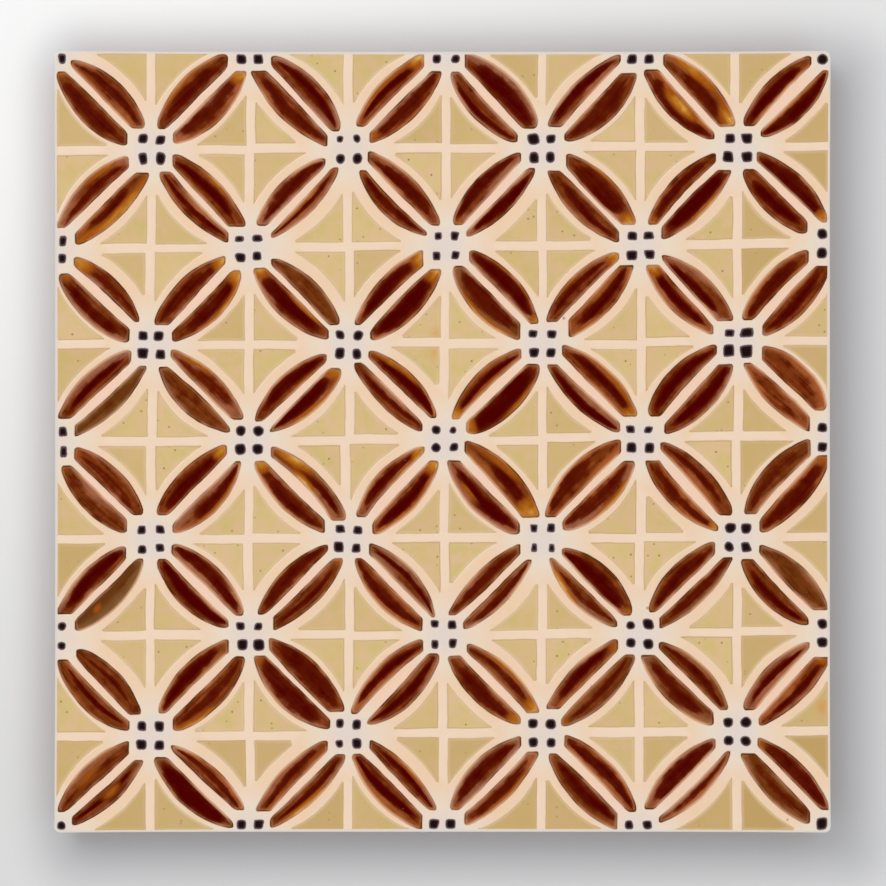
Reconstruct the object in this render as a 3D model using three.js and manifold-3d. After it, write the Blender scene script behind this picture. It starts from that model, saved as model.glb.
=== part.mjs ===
// A glazed earthenware wall tile, lying on its back with the decorated face up.
// A pressed clay slab with a keyed back carries a cream glaze coat, and the coat's face holds a
// lattice of shallow wells: split leaves, hollow-sided corner fields and groups of four dots.
// Millimetres, +Z out of the face, +Y to the top of the pattern, origin under the tile's middle.

import * as THREE from 'three';
import { mergeGeometries, mergeVertices } from 'three/addons/utils/BufferGeometryUtils.js';
import Module from 'manifold-3d';

// The tile over its glaze
const tileWidth = 150;
const tileHeight = 151;
const tileThickness = 9;
const sideBow = 0.3; // how far firing has drawn each side in at its middle
const cornerRadius = 1.8;

// The glaze coat
const faceGlaze = 0.9;
const edgeGlaze = 0.45;
const glazeReach = 5.6; // how far the glaze runs down the edges from the face
const glazeLip = 0.5; // height of the thinned lower lip of the glaze
const arrisRadius = 0.5;

// The keyed back of the clay body
const backChamfer = 0.6;
const keyCount = 8;
const keyPitch = 16;
const keyMouth = 7;
const keyFloor = 5.6;
const keyDepth = 1.3;
const keyMargin = 9; // plain border that the grooves stop short of

// The lattice of square cells, by how far its outer lines fall inside the tile's four sides
const cellsAcross = 8;
const cellsDown = 8;
const latticeLeft = 0.25;
const latticeRight = -0.8;
const latticeTop = 0.05;
const latticeBottom = 0.35;
const borderRim = 0.55; // plain glaze kept between the wells and the sides

// The motifs of one cell
const crossLine = 1.75; // cream line between two corner fields
const midrib = 1.45; // cream line between the two halves of a leaf
const leafWidth = 3.8; // one half leaf at its widest
const leafBand = 1.75; // cream band round a leaf
const leafEndGap = 4.1; // from the lattice line to a leaf's blunt end
const leafKeelGap = 6.5; // from the lattice line to the end of a leaf well's keel
const dotSize = 1.75;
const dotChamfer = 0.45;
const dotSpacing = 3.6; // between the middles of neighbouring dots

// How deep the wells of the coloured glazes are. A leaf's well has upright walls and then slopes
// to its keel, a field's has a flat floor, and a dot's is a cone.
const leafWall = 0.3;
const leafDepth = 0.65;
const fieldDepth = 0.35;
const dotDepth = 0.4;

// How finely curves are stepped, and how far cutting solids stand past what they cut
const sideSteps = 5;
const cornerSteps = 4;
const arrisSteps = 3;
const leafSteps = 6;
const fieldSteps = 5;
const cutOverrun = 0.5;

const halfWidth = tileWidth / 2;
const halfHeight = tileHeight / 2;
const bodyTop = tileThickness - faceGlaze;
const glazeLine = tileThickness - glazeReach;
const pitchX = (tileWidth - latticeLeft - latticeRight) / cellsAcross;
const pitchY = (tileHeight - latticeTop - latticeBottom) / cellsDown;
const pitch = (pitchX + pitchY) / 2; // motifs are drawn in a square cell of this side
const leafRadius = pitch / Math.SQRT2 + midrib / 2 + leafWidth;
const fieldRadius = leafRadius + leafBand;

const wasm = await Module();
wasm.setup();

function toSolid(geometry) {
  const bare = geometry.clone();
  bare.deleteAttribute('normal');
  bare.deleteAttribute('uv');
  const merged = mergeVertices(bare, 1e-5);
  return new wasm.Manifold(new wasm.Mesh({
    numProp: 3,
    vertProperties: new Float32Array(merged.attributes.position.array),
    triVerts: new Uint32Array(merged.index.array),
  }));
}

function toGeometry(solid) {
  const { vertProperties, triVerts } = solid.getMesh();
  const geometry = new THREE.BufferGeometry();
  geometry.setAttribute('position', new THREE.Float32BufferAttribute(vertProperties, 3));
  geometry.setIndex(Array.from(triVerts));
  geometry.computeVertexNormals();
  return geometry;
}

// A closed skin through rings of { outline, z } with equally many [x, y] points, lowest first and
// anticlockwise. Each end is closed to apexes [x, y, z], every point to the one nearest to it.
function loft(rings, lowApexes, highApexes) {
  const count = rings[0].outline.length;
  const points = rings.flatMap(({ outline, z }) => outline.map(([x, y]) => [x, y, z]));
  const faces = [];
  const after = (ring, step) => ring * count + ((step + 1) % count);
  for (let ring = 0; ring + 1 < rings.length; ring += 1) {
    for (let step = 0; step < count; step += 1) {
      const here = ring * count + step;
      const next = after(ring, step);
      faces.push([here, next, next + count], [here, next + count, here + count]);
    }
  }
  const closeEnd = (ring, apexes, facesDown) => {
    const firstApex = points.length;
    points.push(...apexes);
    const apexOf = (index) => {
      const gap = ([x, y]) => Math.hypot(x - points[index][0], y - points[index][1]);
      const gaps = apexes.map(gap);
      return firstApex + gaps.indexOf(Math.min(...gaps));
    };
    const addFace = (a, b, c) => faces.push(facesDown ? [c, b, a] : [a, b, c]);
    for (let step = 0; step < count; step += 1) {
      const here = ring * count + step;
      const next = after(ring, step);
      addFace(here, next, apexOf(here));
      if (apexOf(next) !== apexOf(here)) {
        addFace(next, apexOf(next), apexOf(here));
      }
    }
  };
  closeEnd(0, lowApexes, true);
  closeEnd(rings.length - 1, highApexes, false);
  const geometry = new THREE.BufferGeometry();
  geometry.setAttribute('position', new THREE.Float32BufferAttribute(points.flat(), 3));
  geometry.setIndex(faces.flat());
  return geometry;
}

// How far a side bows in at a place along it, measured from the side's middle
function bowAt(along, halfLength) {
  const share = Math.min(1, Math.abs(along) / (halfLength - cornerRadius));
  return sideBow * (1 - share * share);
}

// The tile's outline, anticlockwise from the lower end of its +X side and set in by inset
function tileOutline(inset) {
  const outline = [];
  const radius = cornerRadius - inset;
  for (let side = 0; side < 4; side += 1) {
    const [reach, halfLength] = side % 2 === 0 ? [halfWidth, halfHeight] : [halfHeight, halfWidth];
    const straight = halfLength - cornerRadius;
    const stretch = [];
    for (let step = 0; step <= sideSteps; step += 1) {
      const along = straight * ((2 * step) / sideSteps - 1);
      stretch.push([reach - inset - bowAt(along, halfLength), along]);
    }
    for (let step = 1; step < cornerSteps; step += 1) {
      const angle = (step / cornerSteps) * (Math.PI / 2);
      stretch.push([
        reach - cornerRadius + radius * Math.cos(angle),
        straight + radius * Math.sin(angle),
      ]);
    }
    const turns = [([x, y]) => [x, y], ([x, y]) => [-y, x], ([x, y]) => [-x, -y], ([x, y]) => [y, -x]];
    outline.push(...stretch.map(turns[side]));
  }
  return outline;
}

// A slab of the tile's outline through levels of { inset, z }, with flat ends
function slab(levels) {
  const rings = levels.map(({ inset, z }) => ({ outline: tileOutline(inset), z }));
  return loft(rings, [[0, 0, levels[0].z]], [[0, 0, levels.at(-1).z]]);
}

// A drafted key groove that runs along Y at x, open at the back
function keyGroove(x) {
  const draft = (keyMouth - keyFloor) / 2 / keyDepth;
  const halfMouth = keyMouth / 2 + draft * cutOverrun;
  const section = new THREE.Shape([
    new THREE.Vector2(-halfMouth, -cutOverrun),
    new THREE.Vector2(halfMouth, -cutOverrun),
    new THREE.Vector2(keyFloor / 2, keyDepth),
    new THREE.Vector2(-keyFloor / 2, keyDepth),
  ]);
  const length = tileHeight - 2 * keyMargin;
  const groove = new THREE.ExtrudeGeometry(section, { depth: length, bevelEnabled: false });
  groove.rotateX(Math.PI / 2);
  groove.translate(x, length / 2, 0);
  return groove;
}

function clayBody() {
  const blank = slab([
    { inset: edgeGlaze + backChamfer, z: 0 },
    { inset: edgeGlaze, z: backChamfer },
    { inset: edgeGlaze, z: glazeLine },
    { inset: edgeGlaze, z: bodyTop },
  ]);
  const grooves = [];
  for (let key = 0; key < keyCount; key += 1) {
    grooves.push(keyGroove((key - (keyCount - 1) / 2) * keyPitch));
  }
  return toGeometry(toSolid(blank).subtract(toSolid(mergeGeometries(grooves))));
}

// Keeps a point of the pattern inside the plain rim along the bowed sides, by an extra gap
function insideRim([x, y], gap = 0) {
  const limitX = halfWidth - borderRim - bowAt(y, halfHeight) - gap;
  const limitY = halfHeight - borderRim - bowAt(x, halfWidth) - gap;
  return [THREE.MathUtils.clamp(x, -limitX, limitX), THREE.MathUtils.clamp(y, -limitY, limitY)];
}

// The solid that cuts one well: upright to the foot of its walls, then sloping to its keel
function wellCutter({ outline, keel, wall, depth }) {
  const loop = outline.map((point) => insideRim(point));
  if (THREE.ShapeUtils.area(loop.map(([x, y]) => ({ x, y }))) < 0) {
    loop.reverse();
  }
  const cutTop = tileThickness + cutOverrun;
  return loft(
    [{ outline: loop, z: tileThickness - wall }, { outline: loop, z: cutTop }],
    keel.map(([x, y]) => [x, y, tileThickness - depth]),
    keel.map(([x, y]) => [x, y, cutTop]),
  );
}

// Motifs are drawn from one corner of a square cell, so that [pitch, pitch] is the corner across.
// Leaves and fields belong to the corners without dots, and share the corner across as the
// centre of their arcs.
const arcPoint = (radius, turn) => [
  pitch - radius * Math.sin(turn),
  pitch - radius * Math.cos(turn),
];

// The half leaf on this corner's side of the cell's diagonal: a straight rib side, two blunt ends
// and an arc
function halfLeaf() {
  const ribShift = midrib / Math.SQRT2;
  const endTurn = Math.asin(leafEndGap / leafRadius);
  const outline = [
    [leafEndGap - ribShift, pitch - leafEndGap],
    [pitch - leafEndGap, leafEndGap - ribShift],
  ];
  for (let step = 0; step <= leafSteps; step += 1) {
    const turn = THREE.MathUtils.lerp(endTurn, Math.PI / 2 - endTurn, step / leafSteps);
    outline.push(arcPoint(leafRadius, turn));
  }
  const keelShift = (midrib + leafWidth) / 2 / Math.SQRT2;
  const keelFar = pitch - leafKeelGap - keelShift;
  const keel = [
    [leafKeelGap - keelShift, keelFar],
    [keelFar, leafKeelGap - keelShift],
  ];
  return { outline, keel, wall: leafWall, depth: leafDepth };
}

// The field in this corner: two straight sides set in from the lattice lines, and a hollow arc
function cornerField(insetX, insetY) {
  const low = Math.acos((pitch - insetY) / fieldRadius);
  const high = Math.asin((pitch - insetX) / fieldRadius);
  const outline = [[insetX, insetY]];
  for (let step = 0; step <= fieldSteps; step += 1) {
    outline.push(arcPoint(fieldRadius, THREE.MathUtils.lerp(low, high, step / fieldSteps)));
  }
  const [arcX, arcY] = arcPoint(fieldRadius, Math.PI / 4);
  const keel = [[(insetX + arcX) / 2, (insetY + arcY) / 2]];
  return { outline, keel, wall: fieldDepth, depth: fieldDepth };
}

// A dot, a square with cut corners
function dotAt([x, y]) {
  const half = dotSize / 2;
  const flat = half - dotChamfer;
  const corners = [
    [half, -flat], [half, flat], [flat, half], [-flat, half],
    [-half, flat], [-half, -flat], [-flat, -half], [flat, -half],
  ];
  const outline = corners.map(([dx, dy]) => [x + dx, y + dy]);
  return { outline, keel: [[x, y]], wall: 0, depth: dotDepth };
}

// The gap from a lattice line to what lies beside it: half a cross line inside the pattern, and
// on the pattern's outer lines whatever reaches to the tile's rim
function lineInset(line, lastLine, firstInset, lastInset) {
  if (line === 0) {
    return borderRim - firstInset;
  }
  return line === lastLine ? borderRim - lastInset : crossLine / 2;
}

// The wells that belong to one corner of the cell at column and row, the corner being 0 or 1
// lattice lines across and up
function cornerWells(column, row, across, up) {
  const lineX = column + across;
  const lineY = row + up;
  const toTile = ([u, v]) => [
    -halfWidth + latticeLeft + (lineX + ((across ? -1 : 1) * u) / pitch) * pitchX,
    -halfHeight + latticeBottom + (lineY + ((up ? -1 : 1) * v) / pitch) * pitchY,
  ];
  if ((lineX + lineY) % 2 === 0) {
    const atRim = (line, lastLine) => line === 0 || line === lastLine;
    const middle = toTile([
      atRim(lineX, cellsAcross) ? 0 : dotSpacing / 2,
      atRim(lineY, cellsDown) ? 0 : dotSpacing / 2,
    ]);
    return [dotAt(insideRim(middle, dotSize / 2))];
  }
  const insetX = lineInset(lineX, cellsAcross, latticeLeft, latticeRight);
  const insetY = lineInset(lineY, cellsDown, latticeBottom, latticeTop);
  return [halfLeaf(), cornerField(insetX, insetY)].map((motif) => ({
    ...motif,
    outline: motif.outline.map(toTile),
    keel: motif.keel.map(toTile),
  }));
}

function patternWells() {
  const wells = [];
  for (let column = 0; column < cellsAcross; column += 1) {
    for (let row = 0; row < cellsDown; row += 1) {
      for (const [across, up] of [[0, 0], [1, 0], [1, 1], [0, 1]]) {
        wells.push(...cornerWells(column, row, across, up));
      }
    }
  }
  return wells;
}

// The coat over the face and down the edges, hollowed by the clay body and cut by the wells
function glazeCoat() {
  const levels = [
    { inset: edgeGlaze / 2, z: glazeLine },
    { inset: 0, z: glazeLine + glazeLip },
  ];
  for (let step = 0; step <= arrisSteps; step += 1) {
    const turn = (step / arrisSteps) * (Math.PI / 2);
    levels.push({
      inset: arrisRadius * (1 - Math.cos(turn)),
      z: tileThickness - arrisRadius * (1 - Math.sin(turn)),
    });
  }
  const core = slab([
    { inset: edgeGlaze, z: glazeLine - cutOverrun },
    { inset: edgeGlaze, z: bodyTop },
  ]);
  const wells = mergeGeometries(patternWells().map(wellCutter));
  return toGeometry(toSolid(slab(levels)).subtract(toSolid(core)).subtract(toSolid(wells)));
}

function subPart(name, geometry, colour, roughness) {
  const material = new THREE.MeshStandardMaterial({ color: colour, roughness, metalness: 0 });
  const mesh = new THREE.Mesh(geometry, material);
  mesh.name = name;
  return mesh;
}

const tile = new THREE.Group();
tile.add(subPart('clay_body', clayBody(), 0xd9b48f, 0.9));
tile.add(subPart('glaze_coat', glazeCoat(), 0xeecda8, 0.2));

export default tile;
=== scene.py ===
import math
import random

import bpy
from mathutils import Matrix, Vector, noise
from mathutils.geometry import delaunay_2d_cdt


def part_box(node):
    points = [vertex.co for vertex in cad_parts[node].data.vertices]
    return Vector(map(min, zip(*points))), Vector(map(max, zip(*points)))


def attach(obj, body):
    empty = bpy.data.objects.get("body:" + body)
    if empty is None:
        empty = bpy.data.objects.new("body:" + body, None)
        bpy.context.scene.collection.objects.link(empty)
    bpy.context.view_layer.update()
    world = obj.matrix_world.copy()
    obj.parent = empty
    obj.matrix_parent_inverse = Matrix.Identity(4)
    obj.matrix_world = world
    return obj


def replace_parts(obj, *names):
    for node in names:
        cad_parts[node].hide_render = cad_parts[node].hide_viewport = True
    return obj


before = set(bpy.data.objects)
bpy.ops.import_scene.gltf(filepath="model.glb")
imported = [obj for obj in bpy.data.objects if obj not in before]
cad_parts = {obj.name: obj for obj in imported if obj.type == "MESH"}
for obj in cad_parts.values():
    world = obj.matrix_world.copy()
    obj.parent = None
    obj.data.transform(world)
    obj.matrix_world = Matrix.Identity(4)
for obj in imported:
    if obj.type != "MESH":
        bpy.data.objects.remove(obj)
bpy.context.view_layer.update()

# A square earthenware tile seen from straight above: brown glaze pooled in split leaves, ochre glaze
# in hollow-sided corner fields, dark dots, and a cream coat over the ridges, face and edges.
# Lengths are millimetres here and become metres where a mesh is made. Columns count from the
# left and rows from the top.
mm = 0.001
coatLow, coatHigh = (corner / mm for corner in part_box("glaze_coat"))
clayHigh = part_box("clay_body")[1] / mm

tile = {
    "halfWidth": coatHigh.x,
    "halfHeight": coatHigh.y,
    "face": coatHigh.z,
    "glazeLine": coatLow.z,
    "clayTop": clayHigh.z,
    "edgeGlaze": coatHigh.x - clayHigh.x,
    "sideBow": 0.3,  # how far firing has drawn each side in at its middle
    "cornerRadius": 1.25,
}

lattice = {
    "cells": 8,
    "left": 0.25, "right": -0.8, "top": 0.05, "bottom": 0.35,  # outer lines inside the sides
    "rim": 0.47,  # plain glaze kept between the motifs and the sides
    # how far each drawn line strays at its two ends, to the right or upwards
    "columnStray": [(0, 0), (-0.1, -0.6), (-0.2, 0), (0.15, 0.15), (0.25, -0.5),
                    (-0.1, -0.1), (0.2, -0.3), (0, -0.1), (0, 0)],
    "rowStray": [(0, 0), (-0.25, 0.2), (-0.5, 0.5), (-0.45, 0.3), (0, 0.8),
                 (-0.1, 0.2), (0, 0.6), (-0.5, 0.6), (0, 0)],
    "jitter": 0.1,
    # a waver of the hand: size of the shift and length of the wave
    "waver": [(0.14, 6.0), (0.07, 1.7)],
    "waverSeed": 1,  # Blender's noise vector starts elsewhere in each run unless it has a seed
}
pitchX = (2 * tile["halfWidth"] - lattice["left"] - lattice["right"]) / lattice["cells"]
pitchY = (2 * tile["halfHeight"] - lattice["top"] - lattice["bottom"]) / lattice["cells"]
pitch = (pitchX + pitchY) / 2
noise.seed_set(lattice["waverSeed"])


def mix(start, end, share):
    return start + (end - start) * share


def between(start, end, share):  # the same for two places
    return [mix(first, last, share) for first, last in zip(start, end)]


def ease(low, high, value):  # 0 up to low, 1 from high, smooth between
    share = min(1, max(0, (value - low) / (high - low)))
    return share * share * (3 - 2 * share)


def through(values, share):  # a curve through values at the left end, the middle and the right end
    left, middle, right = values
    return (left + share * (4 * middle - 3 * left - right)
            + share * share * (2 * left - 4 * middle + 2 * right))


def bowAt(along, half):
    share = min(1, abs(along) / (half - tile["cornerRadius"]))
    return tile["sideBow"] * (1 - share * share)


def latticePoint(column, row):
    dice = random.Random(f"lattice {column} {row}")
    acrossShare, downShare = column / lattice["cells"], row / lattice["cells"]
    x = -tile["halfWidth"] + lattice["left"] + column * pitchX
    y = tile["halfHeight"] - lattice["top"] - row * pitchY
    x += mix(*lattice["columnStray"][column], downShare) + dice.uniform(-1, 1) * lattice["jitter"]
    y += mix(*lattice["rowStray"][row], acrossShare) + dice.uniform(-1, 1) * lattice["jitter"]
    return x, y


lines = range(lattice["cells"] + 1)
latticePoints = {(column, row): latticePoint(column, row) for column in lines for row in lines}


def insideRim(x, y, gap=0):  # keeps a place inside the plain rim along the bowed sides
    limitX = tile["halfWidth"] - lattice["rim"] - bowAt(y, tile["halfHeight"]) - gap
    limitY = tile["halfHeight"] - lattice["rim"] - bowAt(x, tile["halfWidth"]) - gap
    return max(-limitX, min(limitX, x)), max(-limitY, min(limitY, y))


# Motifs are drawn from one corner of a square cell, so that (pitch, pitch) is the corner across.
# corner = (column, row, across, down), the last two being 0 or 1 lattice lines on from the cell.
def toTile(corner, point):
    column, row, across, down = corner
    shareX, shareY = point[0] / pitch, point[1] / pitch
    shareX = 1 - shareX if across else shareX
    shareY = 1 - shareY if down else shareY
    ends = [latticePoints[column + dx, row + dy] for dy in (0, 1) for dx in (0, 1)]
    place = between(between(*ends[:2], shareX), between(*ends[2:], shareX), shareY)
    for size, length in lattice["waver"]:
        shift = noise.noise_vector(Vector((place[0] / length, place[1] / length, length)))
        place = [place[0] + size * shift.x, place[1] + size * shift.y]
    return place


def arcPoint(radius, turn):
    return pitch - radius * math.sin(turn), pitch - radius * math.cos(turn)


# One mesh under construction: a value list for each named attribute beside its points. flow, the
# place along and across a leaf with a start of its own, is the only attribute with three parts.
def newBuild(*names):
    return {"points": [], "uv": [], "faces": [], "hidden": [], "values": {n: [] for n in names}}


def addPoint(build, place, uv=(0, 0), **values):
    build["points"].append(place)
    build["uv"].append(uv)
    for name, store in build["values"].items():
        store.append(values.get(name, (0, 0, 0) if name == "flow" else 0.0))
    return len(build["points"]) - 1


def addFace(build, corners, hidden=False):
    build["faces"].append(corners)
    build["hidden"].append(hidden)


def addBand(build, upper, lower, hidden=False):  # between two anticlockwise rings, facing outwards
    for here in range(len(upper)):
        after = (here + 1) % len(upper)
        addFace(build, (upper[here], lower[here], lower[after], upper[after]), hidden)


def fan(rings, count, closed):  # faces between rings round one first point, and where a point stands
    def at(ring, k):
        return 0 if ring == 0 else 1 + (ring - 1) * count + k % count

    faces = []
    for ring in range(rings):
        for k in range(count if closed else count - 1):
            corners = [at(ring, k), at(ring + 1, k), at(ring + 1, k + 1), at(ring, k + 1)]
            faces.append(corners[:3] if ring == 0 else corners)
    return faces, at


def signedArea(loop):
    return sum(loop[k - 1][0] * loop[k][1] - loop[k][0] * loop[k - 1][1]
               for k in range(len(loop))) / 2


def grown(loop, distance):  # an anticlockwise loop moved outwards
    def beside(k, way):  # the next place that isn't crowded together with this one
        step = way
        while math.dist(loop[k], loop[(k + step) % len(loop)]) < well["crowded"]:
            step += way
        return loop[(k + step) % len(loop)]

    moved = []
    for k, (x, y) in enumerate(loop):
        before, after = beside(k, -1), beside(k, 1)
        dx, dy = after[0] - before[0], after[1] - before[1]
        size = math.hypot(dx, dy)
        moved.append((x + distance * dy / size, y - distance * dx / size))
    return moved


# A pool of glaze as a closed solid: a patch of top points, walls down its shore and a flat floor.
# Its loop is noted among the wells, which the coat is cut by later.
def addPool(build, stain, made):
    patch, shore, faces = made
    first = len(build["points"])
    for point in patch:
        addPoint(build, **point)
    loop = [patch[k]["place"][:2] for k in shore]
    turned = signedArea(loop) < 0
    for corners in faces:
        addFace(build, [first + k for k in (reversed(corners) if turned else corners)])
    if turned:
        shore, loop = shore[::-1], loop[::-1]
    upper = [first + k for k in shore]
    lower = [addPoint(build, (x, y, tile["face"] - well["poolFloor"])) for x, y in loop]
    addBand(build, upper, lower, True)
    addFace(build, lower[::-1], True)
    wells.append({"loop": loop, "stain": stain})


maps = {"pad": 0.06, "hiddenSpot": (0.001, 0.001)}  # hidden faces all share one spot
sharpAngle = 42


def addObject(name, data):
    holder = bpy.data.objects.new(name, data)
    bpy.context.scene.collection.objects.link(holder)
    return holder


def makePiece(name, build, material):
    mesh = bpy.data.meshes.new(name)
    mesh.from_pydata([Vector(place) * mm for place in build["points"]], [], build["faces"])
    for key, store in build["values"].items():
        isVector = key == "flow"
        layer = mesh.attributes.new(key, "FLOAT_VECTOR" if isVector else "FLOAT", "POINT")
        layer.data.foreach_set("vector" if isVector else "value",
                               [part for value in store for part in value] if isVector else store)
    mapPlaces = [maps["hiddenSpot"] if hidden else build["uv"][corner]
                 for face, hidden in zip(build["faces"], build["hidden"]) for corner in face]
    uvMap = mesh.uv_layers.new(name="OFBake")
    uvMap.data.foreach_set("uv", [part for place in mapPlaces for part in place])
    mesh.polygons.foreach_set("use_smooth", [True] * len(mesh.polygons))
    mesh.set_sharp_from_angle(angle=math.radians(sharpAngle))
    mesh.validate()
    mesh.materials.append(material)
    piece = addObject(name, mesh)
    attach(piece, "root")
    print(name, len(mesh.polygons), "faces")
    return piece


def atlasPlace(index, columns, rows, share, rise):  # a place in one box of a grid over the map
    pad = maps["pad"]
    column, row = index % columns, index // columns
    return ((column + pad + (1 - 2 * pad) * share) / columns,
            (row + pad + (1 - 2 * pad) * rise) / rows)


# Colours are written as the eye sees them, 0 to 255
def paint(red, green, blue):
    def linear(part):
        part /= 255
        return part / 12.92 if part <= 0.04045 else ((part + 0.055) / 1.055) ** 2.4
    return linear(red), linear(green), linear(blue), 1.0


def fill(tree, node, inputs):  # links, plain values, and colours as the eye sees them
    for key, value in (inputs or {}).items():
        socket = node.inputs[key]
        if isinstance(value, bpy.types.NodeSocket):
            tree.links.new(value, socket)
        else:
            isPaint = socket.type == "RGBA" and len(value) == 3
            socket.default_value = paint(*value) if isPaint else value
    return node


def addNode(tree, kind, inputs=None, **settings):
    node = tree.nodes.new(kind)
    for name, value in settings.items():
        setattr(node, name, value)
    return fill(tree, node, inputs)


def mixColour(tree, share, first, second, blend="MIX"):
    node = addNode(tree, "ShaderNodeMix", {0: share, 6: first, 7: second},
                   data_type="RGBA", blend_type=blend)
    return node.outputs[2]


def calc(tree, operation, first, second=0.0, third=0.0):
    return addNode(tree, "ShaderNodeMath", {0: first, 1: second, 2: third},
                   operation=operation).outputs[0]


def fade(tree, value, low, high, start=0.0, end=1.0):  # smooth from start to end as value rises
    node = addNode(tree, "ShaderNodeMapRange",
                   {"Value": value, "From Min": low, "From Max": high, "To Min": start, "To Max": end},
                   interpolation_type="SMOOTHSTEP")
    return node.outputs[0]


def attribute(tree, name, output="Fac"):
    return addNode(tree, "ShaderNodeAttribute", attribute_name=name).outputs[output]


def perSize(tree, size):  # the scale at which a texture has features of a size
    return calc(tree, "DIVIDE", 1.0, size) if isinstance(size, bpy.types.NodeSocket) else 1 / size


def cloud(tree, place, size, detail, roughness=0.5):
    return addNode(tree, "ShaderNodeTexNoise", {
        "Vector": place, "Scale": perSize(tree, size), "Detail": detail,
        "Roughness": roughness}).outputs["Fac"]


def spots(tree, place, size, channel, chance, edge, strength):  # a round spot in some cells of a grid
    grid = addNode(tree, "ShaderNodeTexVoronoi", {"Vector": place, "Scale": perSize(tree, size)}).outputs
    drawn = addNode(tree, "ShaderNodeSeparateColor", {"Color": grid["Color"]}).outputs[channel]
    spot = fade(tree, grid["Distance"], *edge, strength, 0.0)
    return calc(tree, "MULTIPLY", spot, calc(tree, "LESS_THAN", drawn, chance))


def newGroup(name, inputs, outputs):
    group = bpy.data.node_groups.new(name, "ShaderNodeTree")
    kinds = {tuple: "Color", float: "Float", str: "Vector"}
    for label, value in inputs.items():
        kind = f"NodeSocket{kinds[type(value)]}"
        socket = group.interface.new_socket(name=label, in_out="INPUT", socket_type=kind)
        if value != "vector":
            socket.default_value = value
    for label, kind in outputs.items():
        group.interface.new_socket(name=label, in_out="OUTPUT", socket_type=f"NodeSocket{kind}")
    entry = group.nodes.new("NodeGroupInput").outputs
    leaving = group.nodes.new("NodeGroupOutput").inputs
    return group, entry, leaving


def useGroup(tree, name, inputs):
    node = tree.nodes.new("ShaderNodeGroup")
    node.node_tree = bpy.data.node_groups[name]
    return fill(tree, node, inputs).outputs


def placeInMm(tree):
    where = addNode(tree, "ShaderNodeTexCoord").outputs["Object"]
    return addNode(tree, "ShaderNodeVectorMath", {0: where, 3: 1 / mm}, operation="SCALE").outputs[0]


# Slow drifts and small freckles of colour, laid over a base colour
mottleLook = {
    "detail": 3.0, "roughness": 0.55, "driftEdge": (0.32, 0.74), "freckleEdge": (0.1, 0.26),
    "freckleStrength": 0.85,
}


def makeMottleGroup():
    group, entry, leaving = newGroup("mottle", {
        "Colour": (1, 1, 1, 1), "Drift Colour": (1, 1, 1, 1), "Drift": 0.5, "Drift Size": 8.0,
        "Second Colour": (1, 1, 1, 1), "Second": 0.3, "Second Size": 3.0,
        "Freckle Colour": (0, 0, 0, 1), "Freckles": 0.02, "Freckle Size": 1.2, "Place": "vector",
    }, {"Colour": "Color"})
    colour = entry["Colour"]
    for name in ("Drift", "Second"):
        drift = cloud(group, entry["Place"], entry[f"{name} Size"],
                      mottleLook["detail"], mottleLook["roughness"])
        share = calc(group, "MULTIPLY", fade(group, drift, *mottleLook["driftEdge"]), entry[name])
        colour = mixColour(group, share, colour, entry[f"{name} Colour"])
    freckles = spots(group, entry["Place"], entry["Freckle Size"], 0, entry["Freckles"],
                     mottleLook["freckleEdge"], mottleLook["freckleStrength"])
    colour = mixColour(group, freckles, colour, entry["Freckle Colour"])
    group.links.new(colour, leaving["Colour"])


# Coloured glaze by how deep it stands: thin, middle and deep colours
toMiddle, toDeep = (0.0, 0.5), (0.35, 1.0)  # the depths over which each colour comes in


def makeDepthGroup():
    group, entry, leaving = newGroup("glazeByDepth", {
        "Depth": 0.5, "Thin": (1, 1, 1, 1), "Middle": (0.5, 0.5, 0.5, 1), "Deep": (0, 0, 0, 1),
    }, {"Colour": "Color"})
    colour = mixColour(group, fade(group, entry["Depth"], *toMiddle), entry["Thin"], entry["Middle"])
    colour = mixColour(group, fade(group, entry["Depth"], *toDeep), colour, entry["Deep"])
    group.links.new(colour, leaving["Colour"])


# The shore of a pool: a dark line where it is crisp, a blend into the ridge where it is soft. In the ochre
# fields that line is a painted shadow of the well's wall
fullLine = 0.35  # the share of a shore line's width over which it has its full strength


def makeShoreGroup():
    group, entry, leaving = newGroup("shore", {
        "Colour": (1, 1, 1, 1), "Rim": 1.0, "Crisp": 0.5, "Line Colour": (0, 0, 0, 1),
        "Line Width": 0.25, "Blend Colour": (1, 1, 1, 1), "Blend Width": 0.6,
    }, {"Colour": "Color"})
    colour = entry["Colour"]
    soft = calc(group, "SUBTRACT", 1.0, entry["Crisp"])
    core = calc(group, "MULTIPLY", entry["Line Width"], fullLine)
    for name, start, strength in (("Blend", 0.0, soft), ("Line", core, entry["Crisp"])):
        near = calc(group, "SUBTRACT", 1.0, fade(group, entry["Rim"], start, entry[f"{name} Width"]))
        colour = mixColour(group, calc(group, "MULTIPLY", near, strength), colour,
                           entry[f"{name} Colour"])
    group.links.new(colour, leaving["Colour"])


# The skin of fired glaze: a slow ripple, a fine orange peel and a few pinholes
skinLook = {
    "rippleDetail": 1.0, "peelDetail": 2.0, "pitSpacing": 1 / 0.55, "pitEdge": (0.03, 0.09),
    "pitHeight": -0.03, "roughByPeel": 0.12, "roughByPit": 0.4,
}


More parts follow.
